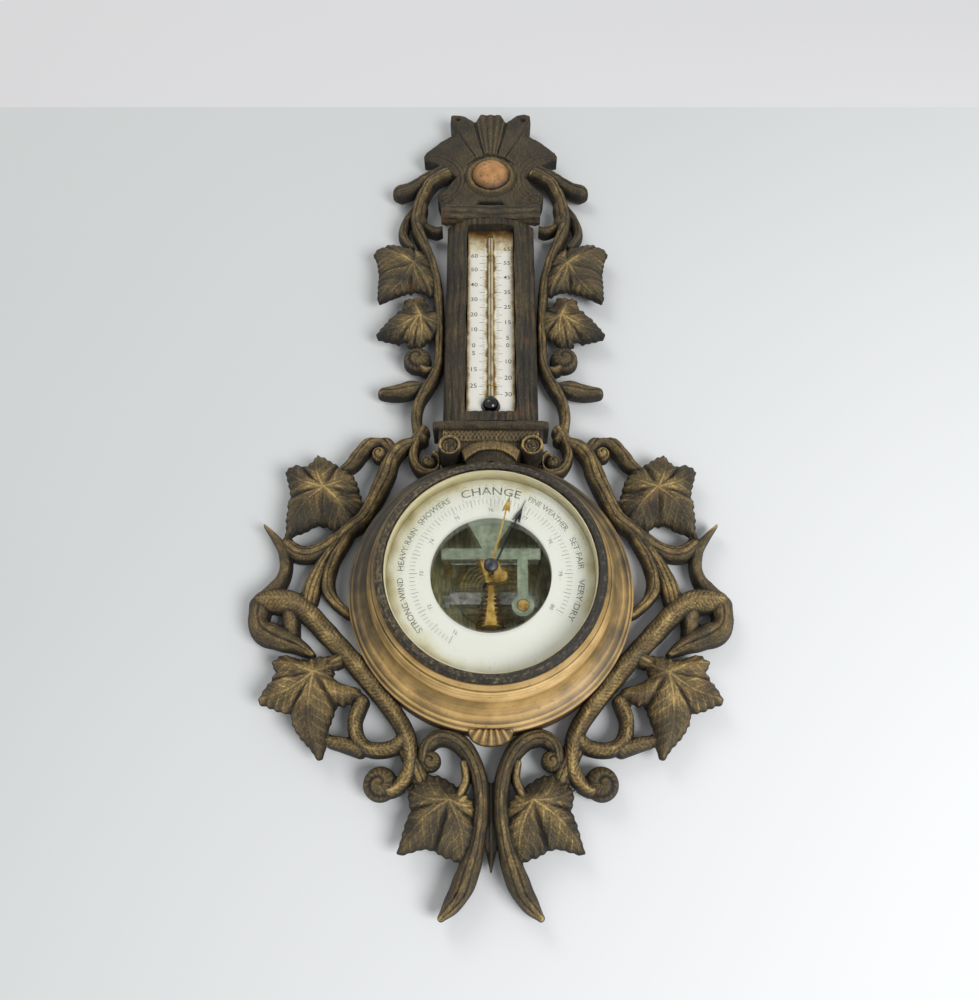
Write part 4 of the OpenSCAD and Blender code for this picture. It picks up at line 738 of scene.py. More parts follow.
def carve(name, forms, keep, node, floor=everywhere(0), slot="carved_wood", material=CARVED, spread=1.0,
          undercut=3.0):
    """One carved board: a triangle grid over the forms' outline. Its sides stand undercut mm high at the
    widest outline and then run inwards to the back, as carved vines do; undercut 0 gives upright sides."""
    def inside(p):
        return survey(forms, keep, p)[0]
    g = GRID * spread
    q, tri = triangle_grid(np.min([f.box[0] for f in forms], 0), np.max([f.box[1] for f in forms], 0), g)
    ok = inside(q) > -0.4 * g
    used, tri = np.unique(tri[ok[tri].all(1)], return_inverse=True)
    tri = tri.reshape(-1, 3)
    rim = open_edges(tri)
    border = np.unique(rim)
    q = fit_border(q[used], rim, border, inside, g)
    _, z, s, d, gilt_and_painted_shade, edge_z, own = survey(forms, keep, q)
    lost = z < UNDER / 2
    z[lost] = np.median(z[~lost])
    n = len(q)
    wear_and_painted_light = np.clip(gilt_and_painted_shade + (z - local_mean(z, tri)) * 0.28, 0, 1)
    back = floor(q)
    if undercut:
        slope_in = 1.33 * np.clip(np.minimum(own, 12), 0, None)
        back = np.maximum(back, np.minimum(edge_z, z) - undercut - slope_in)
    mid = np.column_stack((q[border], 0.5 * z[border] + 0.5 * back[border]))
    points = np.vstack((np.column_stack((q, z)), np.column_stack((q, back)), mid))
    faces = tri.tolist() + (tri[:, ::-1] + n).tolist()
    half_way = {u: 2 * n + k for k, u in enumerate(border.tolist())}
    for u, v in rim:
        faces.append((v, u, half_way[u], half_way[v]))
        faces.append((half_way[v], half_way[u], n + u, n + v))
    grain = np.vstack((np.column_stack((s, d)), q, np.column_stack((s[border], back[border] + 9)))) * MM
    tone = np.concatenate((wear_and_painted_light, np.full(n, 0.42), 0.5 * wear_and_painted_light[border]))
    piece(name, hung(points), faces, material, slot, node, wear_and_painted_light=tone, grain=grain, smooth=52)


# The carved frame: the same driving points as the source's, right half, [x, y, width] from the column down

TRUNK = [[61, 149, 14], [67, 138, 14], [77.5, 134, 14], [86.5, 123, 15], [91.5, 107, 17], [99, 86, 15],
         [107.5, 67, 14], [116, 58, 14], [127, 48, 13]]
SCROLL = [[65, 138, 9], [68, 123, 9], [61, 109, 9], [49, 107, 8], [43, 116, 8], [49, 125, 7]]
OUTER_ARCH = [[131, 109, 10], [122, 117, 13], [115.5, 127, 14], [107, 136.5, 14], [96, 139.5, 14],
              [88, 131, 13]]
LEAF_STEM = [[112, 60, 13], [128, 48, 14], [140, 39, 14], [151, 34, 15], [162, 34.5, 15], [171, 42, 11]]
DROP_STEM = [[131, 42, 11], [139, 28, 13], [145, 13, 15], [149, -1, 16], [150, -12, 14]]
RING_TENDRIL = [[119, 52, 9], [125, 40, 9], [131, 28, 10], [134.5, 14, 11], [134, 2, 11], [129, -7, 10],
                [121, -14.5, 9], [115, -19, 8]]
THORN = [[192, 59, 3], [183, 49, 7], [175, 38, 10], [171.5, 24, 11], [173, 12, 12], [179, 2, 15],
         [186, -8, 18]]
UNDER_KNOT = [[188, -12, 20], [189, -24, 18], [184, -33, 20], [173, -37, 21], [161, -42, 16], [151, -47, 11],
              [143, -52, 5]]
KNOT_WEB = [[163, -16, 16], [162, -30, 14], [160, -38, 12]]
MAIN_STEM = [[186, -8, 17], [174, -8, 22], [161, -10, 19], [149, -18, 17], [137, -30, 17], [125, -42, 17],
             [113, -54, 16], [101, -67, 16], [89, -81, 15], [77, -96, 15], [67, -111, 14], [62, -126, 13],
             [61, -138, 13], [66, -149, 12], [75, -156, 11], [84, -153, 9]]
LEAF_B_STEM = [[114, -53, 12], [128, -60, 12], [141, -66, 12]]
LOW_LOOP = [[101, -90, 12], [105.5, -104, 12], [103, -117, 12], [95, -124.5, 12], [84, -126, 12],
            [73, -123, 12], [66, -116, 11]]
LOW_BRANCH = [[126, -119, 10], [112, -122, 12], [100, -126, 12]]
TAIL_HORN = [[35.5, -242, 6], [28.5, -234, 13], [21.5, -223, 16.5], [15.5, -209, 16.5], [10.5, -191, 13],
             [7.5, -171, 11.5], [8, -152, 12], [12.5, -137, 13], [20, -125, 14], [30, -118, 14],
             [41, -117.5, 13], [49, -124, 12], [51, -133, 10]]
TAIL_WEB = [[64, -127, 14], [58, -137, 15], [53, -148, 14]]
LEAF_C_STEM = [[20, -136, 7], [19, -148, 7], [24, -160, 7]]
SIDE_STEM = [[61, 141, 12], [65.5, 153, 10], [67, 166, 10], [65, 179, 10], [59, 192, 12], [52, 206, 11],
             [48.5, 220, 10], [48, 245, 9], [48.5, 268, 9], [50, 290, 10], [52, 312, 10], [57, 334, 11],
             [64, 354, 12], [71, 372, 13], [74, 390, 13], [72.5, 405, 13], [69, 420, 13], [62, 436, 13],
             [50, 448, 12], [40, 452, 12]]
LOW_TWIG = [[62, 197, 9], [72, 195, 17], [85, 191, 15], [98, 190.5, 11]]
CURL_TWIG = [[51, 215.5, 8], [59, 213.5, 8], [69, 219.5, 9]]
TOP_TWIG = [[50, 456, 12], [62, 449, 13], [74, 438, 14], [84, 430.5, 16], [92, 427.5, 17]]
INNER_HOOK = [[69, 408, 11], [70, 392, 11], [64, 381.5, 10], [54, 376.5, 9], [47, 379.5, 7]]
OUTER_BULGE = [[73, 411, 10], [83.5, 393, 10], [87.5, 374.5, 10], [79.5, 359, 9]]

# Edges of the right half's leaves: the last number is 1 where a vein runs out to a tip, 0 in a notch
LEAF_A = [[152, 124.4, 1], [145.7, 122, 0.4], [137.8, 117, 0.3], [124, 109, 0.6], [117, 100, 0.3],
          [113, 89, 0.4], [110.5, 79, 0.6], [112, 70.5, 0.8], [116, 61.5, 0.3], [118, 56, 0.8],
          [126, 54, 0.5], [134, 53.5, 0.6], [139, 57.5, 0], [148.7, 57.5, 0.1], [156.6, 52.5, 0.4],
          [164.5, 49.6, 0.6], [173.4, 44.6, 1], [173, 53.5, 0.6], [174, 63.4, 0.5], [173.4, 73.3, 0.3],
          [174.4, 80.3, 0.5], [172.5, 86.2, 0], [174.4, 94.2, 0.4], [178.4, 108, 1], [174.4, 113, 0.5],
          [167.5, 115.5, 0.6], [160, 114.5, 0]]
LEAF_B = [[127.4, -55.5, 0.6], [124, -63.4, 0.3], [123, -72.4, 0.2], [113, -77.3, 0.5],
          [102.6, -80.3, 0.5], [99.6, -87.7, 1], [107, -90.2, 0.6], [114.5, -94.2, 0.5], [120, -93.2, 0.1],
          [122, -102, 0], [125.4, -114, 0.5], [126, -125, 0.6], [129.8, -134.8, 1], [137.8, -126, 0.5],
          [146.7, -117, 0.6], [152.6, -108, 0.4], [155.6, -100.1, 0], [163.5, -98.1, 0.4],
          [173.4, -94.2, 0.6], [181, -90.2, 1], [174.4, -75.3, 0.4], [170, -67.4, 0], [173.4, -60.5, 1],
          [169.5, -55.5, 0.6], [163.5, -53.5, 0.7], [148.7, -56.5, 0.1], [135.8, -54, 0.4]]
LEAF_C = [[62, -156, 0.8], [52, -147, 0.3], [40, -145, 0.6], [30, -150, 0.2], [19, -158, 0.3],
          [12, -167, 0.8], [11, -180, 0.5], [14, -195, 0.5], [20, -206, 1], [30, -203.5, 0.6],
          [35, -202, 0.4], [42, -198, 0], [50, -197, 0.4], [58, -199, 0.5], [68, -200.5, 1],
          [66, -190, 0.6], [63.5, -180, 0.3], [60, -170, 0], [61.5, -164, 0.4]]
LEAF_D = [[85.2, 353.8, 0.3], [73.3, 351.8, 0.6], [62.4, 341, 0], [56.5, 327, 0.5], [53, 309.2, 0.3],
          [56.5, 295.3, 0.9], [63.4, 299.3, 0.7], [75.3, 301.8, 0.4], [84.2, 298.3, 0.1], [95, 293.4, 0.3],
          [107, 288.4, 1], [108.5, 305.3, 0.6], [108.5, 320, 0.5], [111, 336, 0.4], [114.5, 346, 1],
          [107, 354.8, 0.6], [96, 357.3, 0.7]]
LEAF_E = [[63.4, 293.4, 0.6], [59.5, 286.4, 0], [51.5, 281.5, 0.6], [46, 267.6, 0.4], [46.6, 257.7, 0.5],
          [53.5, 247.8, 0.6], [59.5, 243.8, 0.2], [66.4, 237, 0.8], [77.3, 238.4, 0.7], [78.3, 244.8, 0],
          [89.2, 243.8, 0.4], [101, 246.3, 0.5], [107.5, 251.2, 1], [97, 267.6, 0.5], [89.2, 278, 0.4],
          [83.7, 282.5, 0.1], [81.8, 291.4, 0.7], [70.4, 294.4, 0.8]]

WREATH_TOP = [vine(TRUNK, STEM, 3, seed=1)]
WREATH_FOOT = [
    vine(MAIN_STEM, STEM + 1, 1, cuts=1, seed=9, tone=0.6),
    knob(83.5, -151, 13, STEM),
    vine(LOW_LOOP, STEM - 2, 1, cuts=-1, seed=11),
    vine(LEAF_B_STEM, STEM - 3, 3, seed=10, tone=0.6),
]
WREATH = WREATH_TOP + WREATH_FOOT + [
    vine(SCROLL, STEM + 1, 2, seed=2, tone=0.42),
    knob(55, 116, 7.5, STEM + 2, tone=0.5),
    vine(OUTER_ARCH, STEM - 2, 2, seed=3, tone=0.42),
    knob(98, 126, 7, STEM - 1, tone=0.6),
    vine(LEAF_STEM, STEM - 3, 3, seed=4, tone=0.46),
    vine(DROP_STEM, STEM - 4, 4, seed=5, tone=0.56),
    vine(RING_TENDRIL, STEM - 2, 2, seed=6, tone=0.48),
    vine(THORN, STEM - 3, 1, seed=7, tone=0.36),
    vine(UNDER_KNOT, STEM - 2, 2, seed=8, tone=0.42),
    vine(KNOT_WEB, STEM - 5, 1, seed=13, tone=0.48),
    vine(LOW_BRANCH, STEM - 4, 1, cuts=1, seed=12, tone=0.46),
    leaf([142, 89], LEAF_A, LEAF + 2, 18, (117, 104), 21, tone=0.48),
    leaf([138, -69], LEAF_B, LEAF + 2, 18, (124, -60), 22, tone=0.56),
]
TAIL = [
    vine(TAIL_HORN, STEM + 1, 3, seed=31, tone=0.38),
    knob(46, -134.5, 8, STEM, tone=0.5),
    vine(TAIL_WEB, STEM - 4, 3, seed=32, tone=0.5),
    vine(LEAF_C_STEM, STEM - 2, 1, seed=33),
    leaf([31, -163], LEAF_C, LEAF, 17, None, 34, tone=0.5),
]
SIDE = [
    vine(SIDE_STEM, STEM, 2, seed=41, tone=0.42),
    vine(LOW_TWIG, STEM - 3, 2, seed=42, tone=0.4),
    vine(CURL_TWIG, STEM - 5, 1, seed=43, tone=0.4),
    knob(68, 225, 13, STEM - 1, tone=0.42),
    vine(TOP_TWIG, STEM - 2, 2, seed=44, tone=0.3),
    vine(INNER_HOOK, STEM - 3, 2, seed=45, tone=0.32),
    vine(OUTER_BULGE, STEM - 6, 2, seed=46, tone=0.3),
    knob(71, 384.5, 9, STEM + 1, tone=0.34),
    leaf([74, 326], LEAF_D, LEAF + 2, 18, (62, 345), 47, tone=0.48),
    leaf([66, 266], LEAF_E, LEAF + 1, 17, (52, 262), 48, tone=0.5),
]

# The wreath meets the tail along this line and the side vines at this height
TAIL_JOINT = np.array([[0, -100], [57, -100], [57, -146], [60, -150], [62, -160], [70, -166], [70, -260],
                       [0, -260]], float)
SIDE_JOINT = 140.0
CREST_RIGHT = [[0, 530], [11.4, 528.6], [13.4, 524.6], [14.8, 520.7], [20.8, 522.7], [27.2, 528], [36, 529.6],
               [42, 529], [42.6, 519.7], [41.6, 509.3], [39.6, 502.4], [44, 499.4], [51.5, 494], [61.4, 484],
               [67.3, 477.6], [69.3, 472.7], [68.8, 466.7], [63.8, 465.3], [57.9, 461.8], [49, 457],
               [35.6, 443], [47.5, 426.2], [53.4, 421.2], [53.4, 412.8], [51, 403.4], [50, 400], [17, 400],
               [11.4, 409]]
CREST_LOOP = np.array(CREST_RIGHT + [[-x, y] for x, y in CREST_RIGHT[:0:-1]], float)


def folded(q):
    """Points of both halves, laid on the right one."""
    return np.column_stack((np.abs(q[:, 0]), q[:, 1]))


def clear_of_base(q):
    """Distance from the round base and from the bracket, positive outside them."""
    block = np.max([np.abs(q[:, 0]) - BRACKET - CLEAR, 100 - q[:, 1], q[:, 1] - 150], 0)
    return np.minimum(np.hypot(q[:, 0], q[:, 1]) - BASE_R - 2 * CLEAR, block)


def wreath_region(q):
    joint = -outline_distance(folded(q), TAIL_JOINT)
    return np.minimum(clear_of_base(q), np.minimum(SIDE_JOINT - q[:, 1], joint))


def tail_region(q):
    flip = folded(q)
    joint = outline_distance(flip, TAIL_JOINT) + 200 * (flip[:, 0] < 5)      # the middle line is no edge
    return np.minimum(clear_of_base(q), np.minimum(joint, -100 - q[:, 1]))


def side_region(q):
    x, y = folded(q).T
    column = np.max([x - COLUMN - CLEAR, SIDE_JOINT - y, y - PLANK_TOP - 2], 0)
    beam = np.maximum(x - BEAM - CLEAR, np.abs(y - BEAM_Y) - BEAM_R)
    shield = -outline_distance(folded(q), CREST_LOOP) - CLEAR
    return np.min([clear_of_base(q), y - SIDE_JOINT, column, beam, shield], 0)


def carved_frame():
    """The wreath's and the side vines' two halves, and the tail with its wedge. Each board also takes the
    neighbours' vines that cross its joint."""
    def both(name, forms, region, node):
        carve("carved_%s_right" % name, forms, region, node + "_right")
        carve("carved_%s_left" % name, [mirrored(f) for f in forms], region, node + "_left")

    def wedge_height(x, y):
        return 15 + 0.8 * np.cos(x * 1.6), 0.25 + 0 * y
    both("wreath", WREATH + TAIL + SIDE[:1], wreath_region, "wreath")
    wedge = slab([[-7, -150], [-6, -190], [0, -214], [6, -190], [7, -150]], wedge_height)
    half = TAIL + WREATH_FOOT
    carve("carved_tail", half + [mirrored(f) for f in half] + [wedge], tail_region, "tail_carving")
    both("side", SIDE + WREATH_TOP, side_region, "side_vine")


carved_frame()


def crest():
    """The crest: a smooth shield with hollow sides, a raised rim round the boss, three petals fanned out
    above it, two rolled ears, and the brass plate's pocket behind."""
    def height(x, y):
        ax = np.abs(x)
        ray = np.hypot(x, y - BOSS_Y)
        z = 20.5 + 4.0 * hill(ray - 12, 26)
        rim = hill(ray - 21.8, 2.4)
        z = z + 3.2 * rim - 1.0 * hill(ray - 26, 1.1)
        gilt_and_painted_shade = 0.34 + 0.16 * hill(ray, 45) + 0.10 * rim
        # the fan: a middle petal of fluted ribs between two smooth ones that end in the ears
        fan = np.clip((y - 470 + 0.02 * ax * ax) / 3, 0, 1) * np.clip((25 - ax + 0.35 * (y - 470)) / 5, 0, 1)
        angle = np.arctan2(x, y - 436)
        middle = np.clip((0.185 - np.abs(angle)) / 0.015, 0, 1)
        ribs = ripple(angle * 68, 0.7)
        z = z + fan * (1.6 + middle * (1.4 + 1.1 * ribs - 1.2))
        gilt_and_painted_shade = gilt_and_painted_shade + fan * middle * (0.16 * ribs - 0.02)
        turn = np.abs(angle)
        crease = hill(turn - 0.2, 0.02) + 0.8 * hill(turn - 0.46, 0.02)
        z = z - fan * 1.9 * crease
        gilt_and_painted_shade = gilt_and_painted_shade - fan * 0.2 * crease
        scallop = 0.9 * np.abs(np.sin(angle * 11))
        # painted shadow: the fan's scalloped foot is cut in, and its colour darkened there too
        foot = hill(y - 469.5 + 0.02 * ax * ax - scallop, 1.0) * (ax < 24)
        z = z - 2.0 * foot
        gilt_and_painted_shade = gilt_and_painted_shade - 0.22 * foot
        for side in (-1, 1):
            ear = np.hypot(x - side * 34.5, y - 520)
            z = z + 2.6 * hill(ear, 8.5) - 6.5 * hill(ear, 1.9)
            gilt_and_painted_shade = gilt_and_painted_shade - 0.3 * hill(ear, 2.3)
            cut = np.hypot(x - side * 47, y - 505)
            z = z - 1.6 * hill(cut - 10, 1.4) * (y > 497)
            hollow = np.hypot(x - side * 63, y - 440)
            groove = ripple((hollow - 27.5) * 1.35, 4) * hill(hollow - 33, 6)
            groove = groove * np.clip((478 - y) / 10, 0, 1) * (ray > 24)
            z = z - 1.3 * groove
            gilt_and_painted_shade = gilt_and_painted_shade + 0.12 * groove
            scroll = np.hypot(x - side * 44, y - 413)
            lobe = hill(scroll, 11, 4)
            z = z + 1.6 * lobe - 1.2 * hill(scroll - 5.5, 1.1)
        edge = np.clip((ax - 30) / 30, 0, 1)
        z = z + 0.72 * lattice_noise(x / 11, y / 11, 51) + 0.2 * lattice_noise(x / 3, y / 3, 52)
        return np.where(ray < 18.9, 20.5, z), gilt_and_painted_shade - 0.10 * edge

    def floor(q):
        x, y = q[:, 0], q[:, 1] - HANG
        plate = ((np.abs(x) < 17.4) & (np.abs(y) < 6.9)) | (np.hypot(x, y) < 11.4)
        return np.where(np.hypot(x, y) < 7, 14, np.where(plate, 2.15, 0))

    def keep(q):
        spine = np.maximum(np.abs(q[:, 0]) - PLANK, q[:, 1] - PLANK_TOP) - CLEAR
        return np.where(q[:, 1] < PLANK_TOP + 2, spine, 50)
    shield = slab(CREST_LOOP, height, ease=3.5, drop=2.5)
    carve("carved_crest", [shield], keep, "crest", floor=floor, spread=0.85, undercut=11)


crest()


def arc(cx, cz, r, start, end, n):
    """Points along a round moulding, [radius, z]."""
    angles = np.radians(np.linspace(start, end, n + 1))
    return np.column_stack((cx + r * np.cos(angles), cz + r * np.sin(angles))).tolist()


def lathe(name, profile, steps, material, slot, node, shade):
    """A ring turned about the dial's axis from a closed profile of [radius, z]. shade(x, y, bend) gives its
    wear and painted light, with bend positive on ridges and negative in grooves."""
    p = np.array(profile, float)
    p = p[np.hypot(*(p - np.roll(p, 1, 0)).T) > 1e-4]
    n = len(p)
    if (p[:, 0] * np.roll(p[:, 1], -1) - np.roll(p[:, 0], -1) * p[:, 1]).sum() < 0:
        p = p[::-1]
    a = np.arange(steps) * 2 * math.pi / steps
    x, y = np.outer(np.cos(a), p[:, 0]), np.outer(np.sin(a), p[:, 0])
    points = np.stack((x, y, np.tile(p[:, 1], (steps, 1))), -1)
    faces = [(k * n + i, (k + 1) % steps * n + i, (k + 1) % steps * n + (i + 1) % n, k * n + (i + 1) % n)
             for k in range(steps) for i in range(n)]
    turn = np.roll(p, -1, 0) - p
    back = p - np.roll(p, 1, 0)
    bend = back[:, 0] * turn[:, 1] - back[:, 1] * turn[:, 0]
    bend = bend / np.maximum(np.hypot(*turn.T) * np.hypot(*back.T), 1e-6)
    points = points.reshape(-1, 3)
    wear_and_painted_light = np.clip(shade(points[:, 0], points[:, 1], np.tile(bend, steps)), 0, 1)
    run = np.cumsum(np.hypot(*back.T))
    grain = np.column_stack((np.repeat(np.sin(a) * 9, n), np.tile(run, steps))) * MM
    piece(name, hung(points), faces, material, slot, node, smooth=35.0, wear_and_painted_light=wear_and_painted_light, grain=grain)


def turned_ring():
    """The turned ring, swept from its moulding, with a little carved shell at its foot."""
    t = BASE_R - 90.4
    profile = ([[83.1, t], [115.4, t], [115.4, t + 1.6]] + arc(113.8, t + 1.6, 1.6, 0, 90, 5)
               + [[112, t + 4.2]] + arc(110.2, t + 6.6, 2.4, -40, 90, 8) + arc(109.7, 50, 13.2, 252, 180, 14)
               + arc(94, 52.5, 3.4, -20, 95, 9) + arc(93.2, 58.6, 2.4, -80, 80, 8)
               + arc(92.6, 63.2, 2, -80, 90, 8) + [[92, RING_TOP], [83.1, RING_TOP]])

    def shade(x, y, bend):
        ray = np.hypot(x, y)
        low = -y / ray                                   # 1 at the foot, -1 at the top
        # low lightens the foot; x / ray is painted light, the right side lighter and the left darker
        light = 0.43 + 0.33 * low + 0.1 * x / ray + 0.10 * lattice_noise(x / 23, y / 23, 91)
        return light + np.clip(bend, -0.6, 0.4) * 0.5
    lathe("turned_ring_wood", profile, 300, TURNED, "turned_wood", "turned_ring", shade)

    def height(x, y):
        angle = np.arctan2(x, -(y + 100))
        z = 31.5 - 0.03 * (np.hypot(x, y + 100) - 14) ** 2 + 0.9 * np.cos(angle * 22)
        return z, 0.62 + 0.1 * np.cos(angle * 22)
    loop = [[-17, -112.8]] + [[-17 * math.cos(math.radians(a)), -116 - 9.6 * math.sin(math.radians(a))]
                              for a in range(0, 181, 12)] + [[17, -112.8]]
    carve("shell_tab", [slab(loop, height, ease=2, drop=2.5)], everywhere(FREE), (), floor=everywhere(t),
          slot="turned_wood", material=TURNED, spread=0.7, undercut=0)


turned_ring()


def bezel():
    """Spun bezel with its rounded rim and rolled inner lip."""
    profile = ([[84.4, 69.15], [88.4, 69.15], [89, 71.2], [89, 74.4]] + arc(86, 75.4, 3, 0, 60, 8)
               + arc(84.8, 74, 6, 80, 110, 6) + [[82.9, 78.8], [82.3, 78.5], [84.4, 78.5]])
    lathe("bezel", profile, 240, LACQUER, "black_bezel", "bezel_ring", lambda x, y, bend: 0.5 + bend)


bezel()


def trunk_column():
    """The tree trunk that carries the thermometer: rubbed bark with shallow grooves and a wavy recess."""
    def height(x, y):
        u = np.clip(np.abs(x) / COLUMN, 0, 1)
        drift = 3.2 * lattice_noise(y / 42, x / 25, 61)
        z = 44.4 - 15 * u ** 3.0 + 0.8 * lattice_noise(y / 30, x / 9, 65)
        groove = ripple((x + drift) * 1.05, 3)
        groove = groove * (0.5 + 0.5 * lattice_noise(y / 30, x / 5, 62))
        fine = lattice_noise(y / 16, (x + drift) / 1.7, 63)
        z = z - 1.1 * groove + 0.35 * fine + 0.15 * lattice_noise(y / 4, x / 1.5, 64)
        return z, 0.35 - 0.22 * groove + 0.12 * fine + 0.1 * lattice_noise(x / 12, y / 25, 66) - 0.1 * u ** 4
    waves = [0.1, 1.1, 0.2, 0.9, 0.1, 1.2, 0.3, 0.8, 0.1, 1, 0.2]
    half, low, step = 22.0, 154.7, 20.66
    right = smooth_path([[half + w, low + k * step] for k, w in enumerate(waves)], 3.0)
    pocket = np.vstack((right, right[::-1] * [-1, 1]))
    loop = [[-COLUMN, 145], [COLUMN, 145], [COLUMN, COLUMN_TOP], [-COLUMN, COLUMN_TOP]]
    board = slab(loop, height, ease=1.6, drop=1.2)
    carve("trunk_column", [board], lambda q: -outline_distance(q, pocket), "column", floor=everywhere(16),
          undercut=0)


trunk_column()


def beam():
    """The log across the column's top, with bark and two bands, and its block on the plank."""
    steps, around, half, r, foot = 110, 64, BEAM, BEAM_R, COLUMN_TOP + 0.05
    x = np.linspace(-half, half, steps)
    a = np.arange(around) * 2 * math.pi / around
    X, A = np.meshgrid(x, a, indexing="ij")
    u = np.abs(X) / half
    R = r * (0.95 + 0.03 * lattice_noise(X / 13, 3 * np.sin(A), 71)) - 0.6 * u ** 8
    groove = ripple(A * 9 + 1.6 * lattice_noise(X / 22, A * 0, 72), 3)
    R = R - 0.5 * groove
    for wave, seed in ((np.cos(A), 73), (np.sin(A), 74)):
        R = R + 0.25 * lattice_noise(X / 6, wave * 5, seed)
    for place in (0.66, 0.9):
        R = R + 0.9 * hill((u - place) * half, 1.6, 4)
    Y, Z = np.maximum(BEAM_Y + R * np.cos(A), foot), 37 + R * np.sin(A)
    points = np.stack((X, Y, Z), -1).reshape(-1, 3)
    faces = [(i + k, i + (k + 1) % around, i + around + (k + 1) % around, i + around + k)
             for i in range(0, (steps - 1) * around, around) for k in range(around)]
    n = len(points)
    points = np.vstack((points, [[-half, BEAM_Y, 37], [half, BEAM_Y, 37]]))
    faces += [(n, (k + 1) % around, k) for k in range(around)]
    base = (steps - 1) * around
    faces += [(n + 1, base + k, base + (k + 1) % around) for k in range(around)]
    wear_and_painted_light = 0.42 - 0.3 * groove.ravel() + 0.12 * lattice_noise(X / 5, A * 3, 75).ravel()
    grain = np.column_stack((X.ravel(), (A * r).ravel())) * MM
    block = np.array([[side * PLANK, y, z] for side in (-1, 1) for y in (foot, 389) for z in (16, 31)], float)
    m = len(points)
    sides = ((0, 1, 3, 2), (4, 6, 7, 5), (0, 4, 5, 1), (2, 3, 7, 6), (0, 2, 6, 4), (1, 5, 7, 3))
    faces += [tuple(m + k for k in f) for f in sides]
    piece("log_beam", hung(np.vstack((points, block))), faces, CARVED, "carved_wood", "column_beam",
          wear_and_painted_light=np.clip(np.concatenate((wear_and_painted_light, np.full(10, 0.3))), 0, 1),
          grain=np.vstack((grain, [[0, 0], [0, 0]], block[:, :2] * MM)))


beam()


def ring_height(ray):
    """How high the turned ring stands at a distance from the dial's centre, with a little room."""
    return np.interp(ray, [92, 95.8, 97.5, 98, 103, 110, 112.8, 115.5, 115.7],
                     [90, 66, 54, 46.5, 41.5, 38, 34, 29.2, 0])


def bracket():
    """The bracket under the column: ledge, hatched band, arched valance and two sawn log ends."""
    def height(x, y):
        ax = np.abs(x)
        z = 38 + 3.5 * np.clip((y - 116) / 10, 0, 1)
        gilt_and_painted_shade = 0.34 + 0.1 * lattice_noise(x / 9, y / 5, 84)
        arch = np.hypot(x, y - 92)
        on_arch = (arch > 27) & (arch < 36) & (y < 127)
        z = np.where(on_arch, 43.5 - 0.11 * (arch - 31) ** 2, z)
        gilt_and_painted_shade = np.where(on_arch, 0.66, gilt_and_painted_shade)
        band = (y > 126) & (y < 135.5) & (ax < 41)
        one, other = (ripple((x + slant * y) * 1.7, 2) for slant in (0.6, -0.7))
        hatch = np.maximum(one, other)
        z = np.where(band, 45.3 - 0.12 * (y - 131) ** 2 + 0.9 * hatch, z)
        gilt_and_painted_shade = np.where(band, 0.36 + 0.3 * hatch, gilt_and_painted_shade)
        z = np.where(y > 137, 46.5 - 0.2 * (y - 141.2) ** 2 + 0.6 * lattice_noise(x / 9, y / 2, 81), z)
        ends = np.hypot(ax - 35, y - 119.5)
        rough = lattice_noise(x / 1.5, y / 1.5, 83)
        rings = 46.2 + 0.5 * np.cos(ends * 2.4) + 0.5 * rough
        z = np.where(ends < 6.9, rings, np.where(ends < 9.4, 48.6 - 0.45 * (ends - 8) ** 2, z))
        gilt_and_painted_shade = np.where(ends < 6.9, 0.5 + 0.2 * rough, np.where(ends < 9.4, 0.66, gilt_and_painted_shade))
        return z + 0.35 * lattice_noise(x / 4, y / 3, 82), gilt_and_painted_shade
    loop = [[-BRACKET, 145], [-BRACKET, 116], [BRACKET, 116], [BRACKET, 145]]
    body = slab(loop, height, ease=1.5, drop=2)
    ledge = slab([[-50, 145], [-50, 137], [50, 137], [50, 145]], height, ease=2.5, drop=4)
    turns = np.radians(206 + 12.8 * np.arange(11))
    valance = np.column_stack((26 * np.cos(turns), 122 + 26 * np.sin(turns))).tolist()
    arch = slab([[-26, 118]] + valance + [[26, 118]], height, ease=1.5, drop=2)
    angles = np.arange(0, 2 * math.pi, 0.2)
    circle = np.column_stack((9.3 * np.cos(angles), 119.5 + 9.3 * np.sin(angles)))
    ends = [slab(circle + [side * 35, 0], height, ease=1.0, drop=1) for side in (-1, 1)]
    carve("bracket_carving", [body, ledge, arch] + ends, everywhere(FREE), "bracket",
          floor=lambda q: np.maximum(16, ring_height(np.hypot(q[:, 0], q[:, 1]))), spread=0.75, undercut=0)


bracket()


# Repeated and swept pieces, by Geometry Nodes

FLOAT, INT, MATERIAL = "NodeSocketFloat", "NodeSocketInt", "NodeSocketMaterial"


def node_tree(name, **inputs):
    """A geometry tree with named inputs of (socket type, value). Returns it, its inputs and their ids."""
    tree = bpy.data.node_groups.new(name, "GeometryNodeTree")
    ids = {}
    for label, (kind, value) in inputs.items():
        socket = tree.interface.new_socket(name=label, in_out="INPUT", socket_type=kind)
        if value is not None:
            socket.default_value = value
        ids[label] = socket.identifier
    tree.interface.new_socket(name="Geometry", in_out="OUTPUT", socket_type="NodeSocketGeometry")
    return tree, add(tree, "NodeGroupInput").outputs, ids


def close_tree(tree, shape, given):
    """Ends a geometry tree: its instances made real, its material set."""
    plain = add(tree, "GeometryNodeRealizeInstances", (shape,))
    done = add(tree, "GeometryNodeSetMaterial", {0: plain, "Material": given["Material"]})
    add(tree, "NodeGroupOutput", (done,))


def grown(name, tree, ids, values, mesh, slot, node=()):
    """Runs a geometry tree on mesh and keeps the result as a plain piece."""
    source = bpy.data.objects.new(name + "_source", mesh)
    bpy.context.scene.collection.objects.link(source)
    modifier = source.modifiers.new("grow", "NODES")
    modifier.node_group = tree
    for label, value in values.items():
        modifier[ids[label]] = value
    bpy.context.view_layer.update()
    result = bpy.data.meshes.new_from_object(source.evaluated_get(bpy.context.evaluated_depsgraph_get()))
    bpy.data.objects.remove(source)
    result.name = name
    place_piece(name, result, slot, node)


